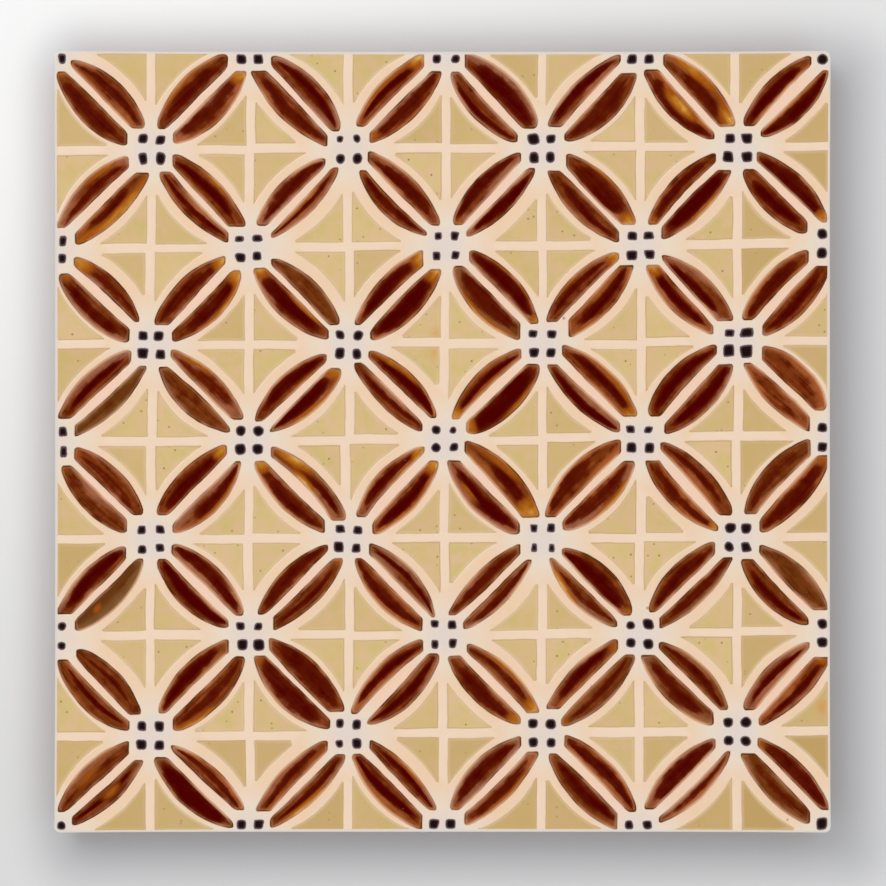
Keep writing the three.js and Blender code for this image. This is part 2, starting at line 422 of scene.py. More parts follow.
def makeSkinGroup():
    group, entry, leaving = newGroup("glazeSkin", {
        "Ripple": 0.02, "Ripple Size": 4.0, "Peel": 0.003, "Peel Size": 0.7,
        "Pinholes": 0.03, "Roughness": 0.12, "Place": "vector",
    }, {"Normal": "Vector", "Roughness": "Float"})
    ripple = cloud(group, entry["Place"], entry["Ripple Size"], skinLook["rippleDetail"])
    peel = cloud(group, entry["Place"], entry["Peel Size"], skinLook["peelDetail"])
    pit = spots(group, entry["Place"], skinLook["pitSpacing"], 1, entry["Pinholes"],
                skinLook["pitEdge"], 1.0)
    height = calc(group, "MULTIPLY", ripple, entry["Ripple"])
    height = calc(group, "MULTIPLY_ADD", peel, entry["Peel"], height)
    height = calc(group, "MULTIPLY_ADD", pit, skinLook["pitHeight"], height)
    bump = addNode(group, "ShaderNodeBump", {"Strength": 1.0, "Distance": mm, "Height": height})
    rough = calc(group, "MULTIPLY_ADD", calc(group, "SUBTRACT", peel, 0.5), skinLook["roughByPeel"],
                 entry["Roughness"])
    rough = calc(group, "MULTIPLY_ADD", pit, skinLook["roughByPit"], rough)
    group.links.new(bump.outputs["Normal"], leaving["Normal"])
    group.links.new(rough, leaving["Roughness"])


# How far a place lies from the nearest dotted crossing, the nearest rib and the nearest side, in mm
def makeCrossingGroup():
    group, entry, leaving = newGroup("crossings", {"Place": "vector"},
                                     {"Crossing": "Float", "Rib": "Float", "Side": "Float"})
    parts = addNode(group, "ShaderNodeSeparateXYZ", {0: entry["Place"]}).outputs
    cellX = calc(group, "DIVIDE", calc(group, "ADD", parts[0], tile["halfWidth"] - lattice["left"]), pitchX)
    cellY = calc(group, "DIVIDE", calc(group, "SUBTRACT", tile["halfHeight"] - lattice["top"], parts[1]),
                 pitchY)
    gaps = []
    for operation in ("ADD", "SUBTRACT"):
        diagonal = calc(group, "MULTIPLY", calc(group, operation, cellX, cellY), 0.5)
        gap = calc(group, "ABSOLUTE", calc(group, "SUBTRACT", diagonal, calc(group, "ROUND", diagonal)))
        gaps.append(calc(group, "MULTIPLY", gap, pitch * math.sqrt(2)))
    squares = calc(group, "MULTIPLY_ADD", gaps[0], gaps[0], calc(group, "MULTIPLY", gaps[1], gaps[1]))
    group.links.new(calc(group, "SQRT", squares), leaving["Crossing"])
    group.links.new(calc(group, "MINIMUM", gaps[0], gaps[1]), leaving["Rib"])
    inside = []
    for part, other, half, otherHalf in ((0, 1, tile["halfWidth"], tile["halfHeight"]),
                                         (1, 0, tile["halfHeight"], tile["halfWidth"])):
        share = calc(group, "DIVIDE", parts[other], otherHalf)
        bow = calc(group, "MULTIPLY_ADD", calc(group, "MULTIPLY", share, share), tile["sideBow"],
                   half - tile["sideBow"])
        inside.append(calc(group, "SUBTRACT", bow, calc(group, "ABSOLUTE", parts[part])))
    group.links.new(calc(group, "MINIMUM", *inside), leaving["Side"])


for makeGroup in (makeMottleGroup, makeDepthGroup, makeShoreGroup, makeSkinGroup, makeCrossingGroup):
    makeGroup()
print("node groups made")


def newMaterial(name):
    material = bpy.data.materials.new(name)
    material.use_nodes = True
    tree = material.node_tree
    tree.nodes.clear()
    surface = addNode(tree, "ShaderNodeBsdfPrincipled")
    leaving = addNode(tree, "ShaderNodeOutputMaterial")
    tree.links.new(surface.outputs[0], leaving.inputs["Surface"])
    return material, tree, surface


def finishMaterial(tree, surface, colour, place, ripple, roughness, rippleSize=4.0):
    skin = useGroup(tree, "glazeSkin", {
        "Place": place, "Ripple": ripple, "Ripple Size": rippleSize, "Roughness": roughness})
    tree.links.new(colour, surface.inputs["Base Color"])
    tree.links.new(skin["Roughness"], surface.inputs["Roughness"])
    tree.links.new(skin["Normal"], surface.inputs["Normal"])


# The brown glaze of the leaves: thin and light at the margins, brown within, maroon where it is deepest
brownGlaze = {
    # the pinkish grey thin colour is thin glaze tinted by a painted reflection on its sloping edge
    "orangeThin": (180, 98, 46), "pinkThinReflection": (172, 114, 88), "oliveThin": (136, 96, 56),
    "middle": (120, 53, 17), "shade": (96, 30, 8), "warm": (142, 62, 28), "oliveMiddle": (104, 56, 18),
    "streakLength": 6.0, "streakWidth": 0.6, "streaks": 0.62, "streakDetail": 3.0,
    "blotSize": 2.0, "blots": 0.6, "blotDetail": 2.0,
    # what the streaks and blots together do
    "toShade": (0.0, 0.16), "toWarm": (-0.02, -0.2), "moveDepth": 0.9, "moveGold": 1.8,
    "middleShare": 0.45,  # of the deep colour, half way out to the margin
    # the colours of the core and of the thin gold, and where each comes in and is full
    "core": [((96, 26, 5), 0.2, 0.65), ((76, 2, 1), 0.5, 1.1)],
    "gold": [((160, 82, 18), 0.1, 0.5), ((194, 126, 38), 0.4, 1.05), ((222, 176, 98), 0.9, 1.4)],
    "line": (80, 36, 20), "oliveLine": (76, 52, 24), "toOliveLine": (0.4, 0.62), "lineWidth": 0.34,
    "breakSize": 4.0, "breakDetail": 1.0, "breakEdge": (0.35, 0.6), "breakStrength": (0.5, 1.1),
    "blend": (214, 166, 130), "blendWidth": 0.55,
}


def makeBrownGlaze():
    look = brownGlaze
    material, tree, surface = newMaterial("brown_glaze")
    place = placeInMm(tree)
    stretched = addNode(tree, "ShaderNodeMapping", {
        "Vector": attribute(tree, "flow", "Vector"),
        "Scale": (1 / look["streakLength"], 1 / look["streakWidth"], 1)}).outputs[0]
    drift = 0.0
    for where, size, detail, strength in (
            (stretched, 1.0, look["streakDetail"], look["streaks"]),
            (place, look["blotSize"], look["blotDetail"], look["blots"])):
        shift = calc(tree, "SUBTRACT", cloud(tree, where, size, detail), 0.5)
        drift = calc(tree, "MULTIPLY_ADD", shift, strength, drift)
    olive = attribute(tree, "olive")
    # the thin glaze of the margins, orange, or pinkish grey from a painted reflection
    thin = mixColour(tree, attribute(tree, "tone"), look["orangeThin"], look["pinkThinReflection"])
    thin = mixColour(tree, olive, thin, look["oliveThin"])
    middle = mixColour(tree, fade(tree, drift, *look["toShade"]), look["middle"], look["shade"])
    middle = mixColour(tree, fade(tree, drift, *look["toWarm"]), middle, look["warm"])
    middle = mixColour(tree, olive, middle, look["oliveMiddle"])
    colour = useGroup(tree, "glazeByDepth", {
        "Depth": calc(tree, "MULTIPLY_ADD", drift, look["moveDepth"], attribute(tree, "depth")),
        "Thin": thin, "Middle": mixColour(tree, look["middleShare"], thin, middle),
        "Deep": middle})["Colour"]
    core = calc(tree, "ADD", attribute(tree, "core"), drift)
    gold = calc(tree, "MULTIPLY", attribute(tree, "gold"),
                calc(tree, "MULTIPLY_ADD", drift, look["moveGold"], 1.0))
    for amount, steps in ((core, look["core"]), (gold, look["gold"])):
        for tone, low, high in steps:
            colour = mixColour(tree, fade(tree, amount, low, high), colour, tone)
    breaks = cloud(tree, place, look["breakSize"], look["breakDetail"])
    crisp = calc(tree, "MULTIPLY", attribute(tree, "crisp"),
                 fade(tree, breaks, *look["breakEdge"], *look["breakStrength"]))
    colour = useGroup(tree, "shore", {
        "Colour": colour, "Rim": attribute(tree, "rim"), "Crisp": calc(tree, "MINIMUM", crisp, 1.0),
        "Line Colour": mixColour(tree, fade(tree, breaks, *look["toOliveLine"]), look["line"],
                                 look["oliveLine"]),
        "Line Width": look["lineWidth"],
        "Blend Colour": look["blend"], "Blend Width": look["blendWidth"]})["Colour"]
    finishMaterial(tree, surface, colour, place, ripple=0.03, roughness=0.1, rippleSize=3.0)
    return material


# The ochre glaze of the corner fields
ochreGlaze = {
    "ochre": (222, 195, 139), "green": (210, 188, 119), "pink": (227, 189, 152),
    # the ochre's line colour is a painted shadow of the well's wall along a field's shore
    "freckle": (140, 112, 58), "line": (200, 165, 122), "shore": (224, 198, 160),
    # laid over one after the other, each as far as its attribute says
    "strong": (196, 163, 104), "tip": (213, 174, 133), "stain": (214, 156, 84),
}


def makeOchreGlaze():
    look = ochreGlaze
    material, tree, surface = newMaterial("ochre_glaze")
    place = placeInMm(tree)
    colour = useGroup(tree, "mottle", {
        "Colour": mixColour(tree, attribute(tree, "green"), look["ochre"], look["green"]),
        "Drift Colour": look["green"], "Drift": 0.85, "Drift Size": 9.0,
        "Second Colour": look["pink"], "Second": 0.8, "Second Size": 2.4,
        "Freckle Colour": look["freckle"], "Freckles": 0.15, "Freckle Size": 1.1,
        "Place": place})["Colour"]
    for name in ("strong", "tip", "stain"):
        colour = mixColour(tree, attribute(tree, name), colour, look[name])
    # the shore's dark line is a painted shadow of the well's wall
    colour = useGroup(tree, "shore", {
        "Colour": colour, "Rim": attribute(tree, "rim"), "Crisp": attribute(tree, "crisp"),
        "Line Colour": look["line"], "Line Width": 0.3,
        "Blend Colour": look["shore"], "Blend Width": 0.75})["Colour"]
    finishMaterial(tree, surface, colour, place, ripple=0.03, roughness=0.14)
    return material


# The dark glaze of the dots
darkGlaze = {
    "deep": (30, 18, 17), "middle": (46, 28, 29), "thin": (76, 56, 64), "line": (64, 46, 50),
    "shore": (128, 110, 112),
}


def makeDarkGlaze():
    look = darkGlaze
    material, tree, surface = newMaterial("dark_glaze")
    colour = useGroup(tree, "glazeByDepth", {
        "Depth": attribute(tree, "depth"), "Thin": look["thin"], "Middle": look["middle"],
        "Deep": look["deep"]})["Colour"]
    colour = useGroup(tree, "shore", {
        "Colour": colour, "Rim": attribute(tree, "rim"), "Crisp": 0.3,
        "Line Colour": look["line"], "Line Width": 0.2,
        "Blend Colour": look["shore"], "Blend Width": 0.32})["Colour"]
    finishMaterial(tree, surface, colour, placeInMm(tree), ripple=0.02, roughness=0.1)
    return material


# The cream glaze of the ridges, the face and the edges: cool at the dotted crossings, warm between
creamGlaze = {
    "crossing": (230, 221, 214), "halo": (238, 224, 204), "band": (242, 210, 175), "rib": (247, 211, 186),
    "line": (244, 219, 193), "drift": (238, 207, 170), "blush": (246, 211, 194), "freckle": (176, 142, 104),
    "brownStain": (190, 138, 104), "ochreStain": (226, 200, 160), "darkStain": (140, 122, 130),
    # the pale cool colour close to the sides is a painted highlight along the tile's rounded edge
    "outline": (221, 217, 211), "edgeHighlightWidth": (0.2, 0.6), "edgeHighlightShare": 0.85,
    "toHalo": (1.6, 5.2), "toBand": (4.4, 11.0), "toRib": (1.5, 0.4), "toLine": (5.6, 7.0),
}


def makeCreamGlaze():
    look = creamGlaze
    material, tree, surface = newMaterial("cream_glaze")
    place = placeInMm(tree)
    away = useGroup(tree, "crossings", {"Place": place})
    colour = look["crossing"]
    for name, toward in (("halo", "toHalo"), ("band", "toBand")):
        colour = mixColour(tree, fade(tree, away["Crossing"], *look[toward]), colour, look[name])
    warm = fade(tree, away["Crossing"], *look["toBand"])
    for name, toward in (("rib", "toRib"), ("line", "toLine")):
        share = calc(tree, "MULTIPLY", fade(tree, away["Rib"], *look[toward]), warm)
        colour = mixColour(tree, share, colour, look[name])
    colour = useGroup(tree, "mottle", {
        "Colour": colour, "Drift Colour": look["drift"], "Drift": 0.2, "Drift Size": 10.0,
        "Second Colour": look["blush"], "Second": 0.4, "Second Size": 3.0,
        "Freckle Colour": look["freckle"], "Freckles": 0.006, "Freckle Size": 1.8,
        "Place": place})["Colour"]
    # a painted highlight along the rounded edge of the tile
    outline = fade(tree, away["Side"], *look["edgeHighlightWidth"], look["edgeHighlightShare"], 0.0)
    colour = mixColour(tree, outline, colour, look["outline"])
    for name in ("ochreStain", "brownStain", "darkStain"):
        colour = mixColour(tree, attribute(tree, name), colour, look[name])
    finishMaterial(tree, surface, colour, place, ripple=0.04, roughness=0.14, rippleSize=5.0)
    return material


# The bare clay of the back and the lower edges
clay = {
    "base": (217, 180, 143), "drift": (205, 162, 124), "blush": (224, 172, 136), "grog": (150, 112, 84),
    "grainSize": 0.45, "grainDetail": 4.0, "grainRoughness": 0.7, "grainHeight": 0.05,
    "grogEdge": (0.3, 0.5), "grogStrength": 0.35,
    "waveSize": 7.0, "waveDetail": 2.0, "waveHeight": 0.12,
    "roughEdge": (0.3, 0.7), "roughness": (0.78, 0.95),
}


def makeClay():
    material, tree, surface = newMaterial("fired_clay")
    place = placeInMm(tree)
    colour = useGroup(tree, "mottle", {
        "Colour": clay["base"], "Drift Colour": clay["drift"], "Drift": 0.7, "Drift Size": 18.0,
        "Second Colour": clay["blush"], "Second": 0.5, "Second Size": 2.5,
        "Freckle Colour": clay["grog"], "Freckles": 0.22, "Freckle Size": 0.9,
        "Place": place})["Colour"]
    grain = cloud(tree, place, clay["grainSize"], clay["grainDetail"], clay["grainRoughness"])
    wave = cloud(tree, place, clay["waveSize"], clay["waveDetail"])
    pale = fade(tree, grain, *clay["grogEdge"], clay["grogStrength"], 0.0)
    colour = mixColour(tree, pale, colour, clay["grog"])
    height = calc(tree, "MULTIPLY_ADD", wave, clay["waveHeight"],
                  calc(tree, "MULTIPLY", grain, clay["grainHeight"]))
    bump = addNode(tree, "ShaderNodeBump", {"Strength": 1.0, "Distance": mm, "Height": height})
    rough = fade(tree, grain, *clay["roughEdge"], *clay["roughness"])
    tree.links.new(colour, surface.inputs["Base Color"])
    tree.links.new(rough, surface.inputs["Roughness"])
    tree.links.new(bump.outputs["Normal"], surface.inputs["Normal"])
    return material


# Every well in the coat, filled by the motifs below: its loop, and what stains its lip
wells = []
well = {
    "depth": 0.5,
    # the lip: how far outside the well's wall, how far below the face, and how stained
    "lip": [(0.21, 0, 0.03), (0.13, 0.007, 0.15), (0.05, 0.025, 0.5), (0, 0.05, 1)],
    "shore": 0.06,  # how far a pool's edge stands below the face
    "poolFloor": 0.47,
    "crowded": 0.12,  # places along a loop that are nearer than this don't turn its lip
}


# A point on the top of a pool of leaf, field or dot glaze, which draws up to the walls
def poolPoint(kind, index, place, mapPlace, rim, **values):
    slack = 1 - min(1, rim / kind["meniscus"])
    height = tile["face"] - well["shore"] - kind["sag"] * (1 - slack * slack)
    return {"place": (*place, height), "uv": atlasPlace(index, *kind["grid"], *mapPlace), "rim": rim,
            **values}


# The half leaves. A quirk overrides what is drawn by lot for one half leaf, in mm unless shares:
# rib, arc: how far that edge moves outwards at the left, the middle and the right
# ends: how much longer it is at the left and the right
# margins: how wide the light glaze is along the rib edge, the arc edge and at the ends
# tones: 0 orange to 1 pinkish grey, the grey being a painted reflection on the sloping glaze, along the rib
# edge and along the arc edge
# core: the dark part's middle at the left and the right, as a share from the rib (0) to the arc (1)
# wide: half the dark part's width, as such a share
# reach: how far from the left and right ends the dark part starts
# gold: thin golden spots as (share along, share from the rib, length, width, strength)
leaf = {
    "midrib": 1.45, "width": 3.8, "endGap": 4.17,
    # how far each edge moves out in any case, and how much the rib edge takes of its own move
    "ribGrow": 0.06, "arcGrow": 0.09, "ribHand": 0.85,
    # how far along and how far across the two edges are rounded off at the ends
    "ribRounding": (0.9, 0.4), "arcRounding": (1.4, 1.05),
    "mostRounding": 0.4,  # as a share of the width
    "endSteps": (0, 0.04, 0.11, 0.22, 0.45), "firstStation": 0.81, "stations": 26,
    "across": (0, 0.03, 0.08, 0.15, 0.25, 0.37, 0.5, 0.63, 0.75, 0.85, 0.92, 0.97, 1),
    "sag": 0.06, "meniscus": 1.4, "flowSpan": 40, "grid": (4, 8),  # the map's columns and rows of boxes
}
leafRadius = pitch / math.sqrt(2) + leaf["midrib"] / 2 + leaf["width"]
up, low = "upper", "lower"
goldenRight, goldenLeft = (0.97, 0.6, 1.8, 2.2, 0.95), (0.02, 0.5, 1.7, 2.2, 0.95)
leafQuirks = {
    (0, 0, up): dict(arc=(-0.2, -0.1, 0.3), rib=(0.6, 0.7, 0.8), ends=(1.2, 0.2), wide=0.2),
    (0, 0, low): dict(rib=(-0.8, -0.6, -0.6), arc=(1.0, 1.2, 0.7), ends=(0.3, -0.6),
        gold=[(0.02, 0.5, 1.2, 1.6, 0.45)]),
    (1, 0, up): dict(arc=(0.4, 0.8, 0.9), tones=(0.9, 0.2), gold=[(0.45, 0.95, 5, 0.7, 0.7)]),
    (1, 0, low): dict(arc=(0.4, 0.7, 0.6), core=(0.4, 0.4), wide=0.34, gold=[goldenRight]),
    (2, 0, up): dict(arc=(0.6, 0.3, 0), rib=(-0.4, 0.2, 0.7), ends=(0, 0.8), tones=(0.9, 0.9), wide=0.2),
    (2, 0, low): dict(rib=(0.4, 0.1, -0.4), ends=(0.5, 0.2), tones=(0.9, 0.3)),
    (3, 0, up): dict(arc=(0.2, 0, 0.9), rib=(0, -0.2, -0.2), wide=0.18,
        gold=[(0.96, 0.75, 1.8, 1.6, 1.0), (0.55, 0.97, 6, 0.8, 0.7)]),
    (3, 0, low): dict(margins=(1.4, 0.7, 1.3), tones=(1, 0.1), gold=[(0.03, 0.5, 1.6, 2, 0.45)]),
    (4, 0, up): dict(arc=(0.8, 0.8, 0.6), rib=(0.3, 0.5, 0.9), ends=(0.5, 0.4), core=(0.4, 0.45),
        tones=(0.8, 1), wide=0.34, margins=(0.7, 1.8, 1)),
    (4, 0, low): dict(rib=(-0.2, -1, -0.9), arc=(0.6, 0.7, 0.6), ends=(0.2, -0.6), core=(0.7, 0.6),
        tones=(0.9, 0.9)),
    (5, 0, up): dict(arc=(0.5, -0.1, 0.8), rib=(0.4, -0.3, -0.7), tones=(0.6, 1)),
    (5, 0, low): dict(rib=(-0.4, 0, 0.5), arc=(0.2, 0.8, 0.4), wide=0.34, tones=(0.5, 0.9)),
    (6, 0, up): dict(arc=(0.8, 1, 0.8), rib=(-0.5, 0, 0.3), reach=(4, 1.5), core=(0.4, 0.4), olive=0.2,
        gold=[(0.35, 0.9, 5, 1.2, 0.9), (0.92, 0.8, 2.2, 1.6, 1.1)]),
    (6, 0, low): dict(rib=(0.6, -0.1, -0.5), arc=(0.8, 0.3, 0.1), ends=(0.6, -0.4), core=(0.5, 0.65),
        wide=0.36, gold=[(0.5, 0.3, 3.5, 1.1, 1.1)]),
    (7, 0, up): dict(rib=(0, -0.6, -0.8), arc=(0.6, 0.3, 0.6), ends=(0, -0.5)),
    (0, 1, up): dict(rib=(-0.9, -0.5, 0), arc=(0.9, 0.5, 0.3), ends=(0.2, -0.4),
        gold=[(0.7, 0.9, 4, 0.8, 0.7)]),
    (0, 1, low): dict(tones=(0, 0), wide=0.2, reach=(2, 4), core=(0.4, 0.4),
        gold=[(0.6, 0.85, 7, 1, 0.95), (0.1, 0.6, 3, 2, 0.3)]),
    (1, 1, up): dict(arc=(0.6, 0, 0.8), rib=(0.3, 0.4, 0.9), wide=0.2, gold=[(0.5, 0.97, 4, 0.7, 0.8)]),
    (1, 1, low): dict(rib=(0.3, -0.3, -0.2), arc=(0.3, -0.3, 0.4), wide=0.17, tones=(0.5, 0.2)),
    (2, 1, up): dict(wide=0.32, tones=(1, 0.6)),
    (2, 1, low): dict(rib=(-0.3, -0.1, 0.4), arc=(-0.2, -1, -0.2)),
    (3, 1, up): dict(arc=(0.7, 0.1, 0.4)),
    (3, 1, low): dict(arc=(-0.4, -0.5, -0.5)),
    (4, 1, up): dict(rib=(0.2, -0.3, -0.5), core=(0.65, 0.65), tones=(1, 0.5), margins=(1.5, 0.6, 1)),
    (4, 1, low): dict(arc=(-0.2, -0.7, 0.2), tones=(0.8, 0.8)),
    (5, 1, up): dict(rib=(0, 0.7, 0.5), arc=(0.5, 0.4, 0.5), wide=0.38,
        gold=[(0.45, 1, 4, 0.6, 0.9), goldenRight]),
    (6, 1, up): dict(rib=(0.2, -0.5, -0.4), arc=(0.1, -0.1, 0.5), tones=(0.2, 0.1)),
    (6, 1, low): dict(rib=(0.3, 0.6, 0.4), wide=0.38, core=(0.42, 0.42),
        gold=[(0.55, 0.97, 5, 0.7, 0.95)]),
    (7, 1, up): dict(core=(0.4, 0.36), wide=0.44, gold=[(0.97, 0.7, 1.5, 2, 1.2)]),
    (7, 1, low): dict(ends=(0, -1.2)),
    (0, 2, up): dict(rib=(0.6, 0, -0.1), arc=(-0.1, -0.5, -0.6), ends=(0.6, -0.3), reach=(3.5, 1),
        gold=[(0.08, 0.6, 2.5, 2, 0.9)]),
    (0, 2, low): dict(rib=(-0.9, -0.7, -0.2), arc=(0.9, 1.1, 0.9), ends=(-0.6, -0.2), tones=(0.6, 1),
        margins=(0.6, 1.2, 1)),
    (1, 2, up): dict(rib=(0.5, -0.1, -0.5), tones=(0.9, 0.3), gold=[goldenRight]),
    (1, 2, low): dict(rib=(-0.5, -0.4, -0.2), arc=(0.6, 0.7, 0.1), reach=(3, 1.5),
        gold=[goldenRight, (0.6, 0.97, 5, 0.7, 0.9)]),
    (2, 2, up): dict(arc=(-0.3, -0.5, 0), rib=(0.3, 0.3, 0.8), ends=(0, 0.4), deep=0.35),
    (2, 2, low): dict(arc=(0.6, 0.6, 0.3), wide=0.34, gold=[goldenLeft, (0.65, 0.04, 5, 0.6, 0.9)]),
    (3, 2, up): dict(arc=(0.3, -0.1, 0.7), wide=0.32, gold=[goldenRight]),
    (3, 2, low): dict(rib=(-0.5, 0, -0.3), arc=(0.6, 0.7, 0.5), wide=0.36, gold=[goldenRight]),
    (4, 2, up): dict(rib=(-0.5, -0.7, -0.5), arc=(0.6, 0.7, 0.5), wide=0.33,
        gold=[(0.5, 1, 6, 0.5, 0.7), (0.97, 0.7, 1.2, 2, 0.7)]),
    (4, 2, low): dict(rib=(0.5, 0.5, 0.5), core=(0.35, 0.4), wide=0.36, gold=[(0.6, 0.95, 6, 0.6, 1)]),
    (5, 2, up): dict(rib=(-0.3, -0.6, -0.3), wide=0.18, gold=[goldenRight, (0.5, 1, 5, 0.6, 0.7)]),
    (5, 2, low): dict(rib=(0.4, 0.6, 0.9), ends=(-0.8, 0.4), tones=(0, 0), margins=(1.3, 1.3, 1.4)),
    (6, 2, up): dict(rib=(-0.4, 0.3, 0.7), core=(0.3, 0.3), wide=0.2, tones=(0.9, 0.6)),
    (6, 2, low): dict(rib=(0.6, 0, -0.5), ends=(0.3, -0.5), gold=[goldenLeft]),
    (7, 2, up): dict(rib=(-0.2, -0.6, -0.4), arc=(0.7, 0.5, 0.5), ends=(0, -1)),
    (7, 2, low): dict(rib=(-0.5, 0.2, 0.3), ends=(-0.6, -0.2), gold=[(0.5, 1, 4, 0.5, 0.6)]),
    (0, 3, up): dict(arc=(0.8, 0.5, 0.5), rib=(-0.5, 0, 0.3), tones=(0.4, 1), margins=(0.6, 1.7, 1)),
    (0, 3, low): dict(rib=(0.2, -0.6, -0.7), olive=0.9, deep=0.3),
    (1, 3, up): dict(deep=0.6, gold=[(0.25, 0.9, 4, 1, 0.6)]),
    (1, 3, low): dict(olive=0.3, deep=0.4),
    (2, 3, up): dict(core=(0.6, 0.5), reach=(3, 1), gold=[(0.6, 0, 5, 0.5, 0.9)]),
    (2, 3, low): dict(rib=(-0.7, -0.1, 0), core=(0.4, 0.35), wide=0.32,
        gold=[(0.5, 1, 5, 0.9, 1.1), (0.95, 0.5, 1.2, 2.2, 0.8)]),
    (3, 3, up): dict(rib=(-0.2, -0.3, -0.2), gold=[(0.3, 0.9, 5, 0.9, 0.7)]),
    (3, 3, low): dict(arc=(0.5, -0.6, 0.3), ends=(0.6, -0.2)),
    (4, 3, up): dict(rib=(-0.1, -0.6, -0.2),
        gold=[goldenLeft, (0.6, 0.95, 7, 0.6, 0.6), (0.5, 0.03, 5, 0.7, 0.8)]),
    (4, 3, low): dict(arc=(0.6, 1.1, 0.8), wide=0.42,
        gold=[(0.02, 0.5, 1.3, 3, 1), (0.6, 0.95, 4, 0.8, 0.6)]),
    (5, 3, up): dict(arc=(0.8, 0.7, 0.9), rib=(-0.5, -0.2, -0.1),
        gold=[(0.6, 0.9, 6, 0.9, 0.6), (0.97, 0.5, 1.2, 2.4, 0.7)]),
    (5, 3, low): dict(core=(0.6, 0.65), tones=(0.8, 0.6), margins=(1.5, 0.6, 1.2)),
    (6, 3, up): dict(arc=(0, 0.7, 0.8), rib=(0.6, -0.4, -0.6)),
    (6, 3, low): dict(rib=(-0.9, -0.3, 0.2), arc=(0.7, 0.9, 0.5), ends=(-0.6, -0.2)),
    (7, 3, up): dict(deep=0.4, ends=(-0.5, -1), tones=(0.1, 0.1)),
    (7, 3, low): dict(deep=0.4, ends=(0, -0.7), tones=(0.3, 0.2)),
    (0, 4, up): dict(rib=(0.6, 0.3, 0), ends=(0.5, -0.4), deep=0.6, tones=(1, 0.5)),
    (0, 4, low): dict(rib=(-0.5, -0.3, 0), arc=(0.5, 0.6, 0.6), ends=(-0.5, -0.6), deep=0.4),
    (1, 4, up): dict(rib=(-0.3, -0.4, -0.5), arc=(0.6, 0.4, 0.6), wide=0.32, gold=[goldenRight]),
    (1, 4, low): dict(reach=(4.5, 0.5), tones=(1, 0.3), gold=[(0.55, 0.97, 5, 0.7, 0.9)]),
    (2, 4, up): dict(arc=(0.3, 0.1, 1), rib=(0, -0.7, 0.7), ends=(0, 0.8), wide=0.2,
        gold=[(0.25, 0.85, 3.5, 1.2, 1), (0.45, 0.05, 2.5, 0.8, 1.1)]),
    (2, 4, low): dict(wide=0.33, gold=[goldenLeft]),
    (3, 4, up): dict(rib=(0.2, -0.5, -0.3), gold=[(0.94, 0.6, 1.2, 2, 1), (0.7, 0.02, 4, 0.8, 0.9)]),
    (3, 4, low): dict(rib=(-0.7, -0.3, -0.2), arc=(0.9, 0.5, 0.3), ends=(-0.6, 0), gold=[goldenRight]),
    (4, 4, up): dict(arc=(0.7, 0.7, 0.7), rib=(-0.3, 0.1, 0.7), tones=(0, 0), reach=(6, 1.5), wide=0.25,
        gold=[(0.93, 0.6, 2, 3, 1), (0.35, 0.9, 6, 1.2, 0.5)]),
    (4, 4, low): dict(arc=(0.7, 1, 0.8), rib=(-0.2, -0.4, -0.3), gold=[(0.35, 0.7, 2.5, 0.6, 0.6)]),
    (5, 4, up): dict(arc=(0.6, 1, 0.9), tones=(0, 0), reach=(0.5, 6), core=(0.6, 0.6)),
    (5, 4, low): dict(arc=(0.2, 0.5, 0.5), core=(0.4, 0.4), wide=0.3, gold=[(0.6, 0.97, 5, 0.7, 1)]),
    (6, 4, up): dict(rib=(-0.7, -0.4, 0.3), arc=(0.7, 0.3, 0.7), deep=0.8),
    (6, 4, low): dict(rib=(0.4, -0.4, -0.5), gold=[(0.96, 0.5, 1, 2, 0.8)]),
    (7, 4, up): dict(rib=(0, -0.5, -0.2), arc=(0.2, 0.8, 1), ends=(-0.3, -0.6), deep=0.6, olive=0.3,
        gold=[(0.2, 0.05, 2.5, 0.6, 0.6)]),
    (7, 4, low): dict(rib=(0.1, 0.5, 0.8), ends=(0, 0.7), wide=0.36, deep=0.8,
        gold=[(0.97, 0.6, 1.5, 2, 0.5)]),
    (0, 5, up): dict(arc=(0.9, 0.4, 0.3), ends=(0, -0.7), tones=(0.4, 1)),
    (0, 5, low): dict(olive=1, deep=0.25, gold=[(0.3, 0.4, 1.2, 0.8, 0.5)]),
    (2, 5, up): dict(margins=(0.5, 0.6, 0.7), wide=0.36),
    (3, 5, up): dict(ends=(0, 0.8), tones=(0.9, 0.9), margins=(1.5, 1.3, 1.2), wide=0.16),
    (4, 5, up): dict(arc=(0.4, -0.6, 0.3), ends=(0.4, 0)),
    (4, 5, low): dict(rib=(-0.3, -0.2, -0.2), arc=(0.6, -0.7, -0.2)),
    (5, 5, up): dict(arc=(-0.4, 0.2, 0.1), rib=(0.4, 0.7, 0.6), ends=(0.4, 0.6), core=(0.4, 0.4),
        wide=0.34, olive=0.2, gold=[(0.97, 0.6, 1.2, 2, 0.45)]),
    (5, 5, low): dict(rib=(-0.7, -0.4, -0.6), arc=(0.1, 0, 0.4), wide=0.2, olive=0.35,
        gold=[(0.3, 0.9, 4, 0.7, 1.1)]),
    (6, 5, low): dict(arc=(0.4, -0.5, 0.4)),
    (7, 5, up): dict(rib=(-0.3, 0.6, 0.5), ends=(0, -0.4), deep=0.25, olive=0.5, tones=(0.5, 0.6),
        margins=(1.2, 1.2, 1.4)),
    (7, 5, low): dict(rib=(-0.1, -0.7, -0.9), ends=(0, -1)),
    (0, 6, up): dict(rib=(0.9, 1, 0.9), arc=(-0.6, -0.6, -0.1), ends=(0, 0.2), wide=0.13),
    (0, 6, low): dict(rib=(-1, -1.1, -0.4), arc=(0.9, 1.1, 0.3), ends=(-0.4, 0), wide=0.13),
    (1, 6, up): dict(rib=(-0.1, -0.3, 0.1), arc=(0, 0.1, 0.6)),
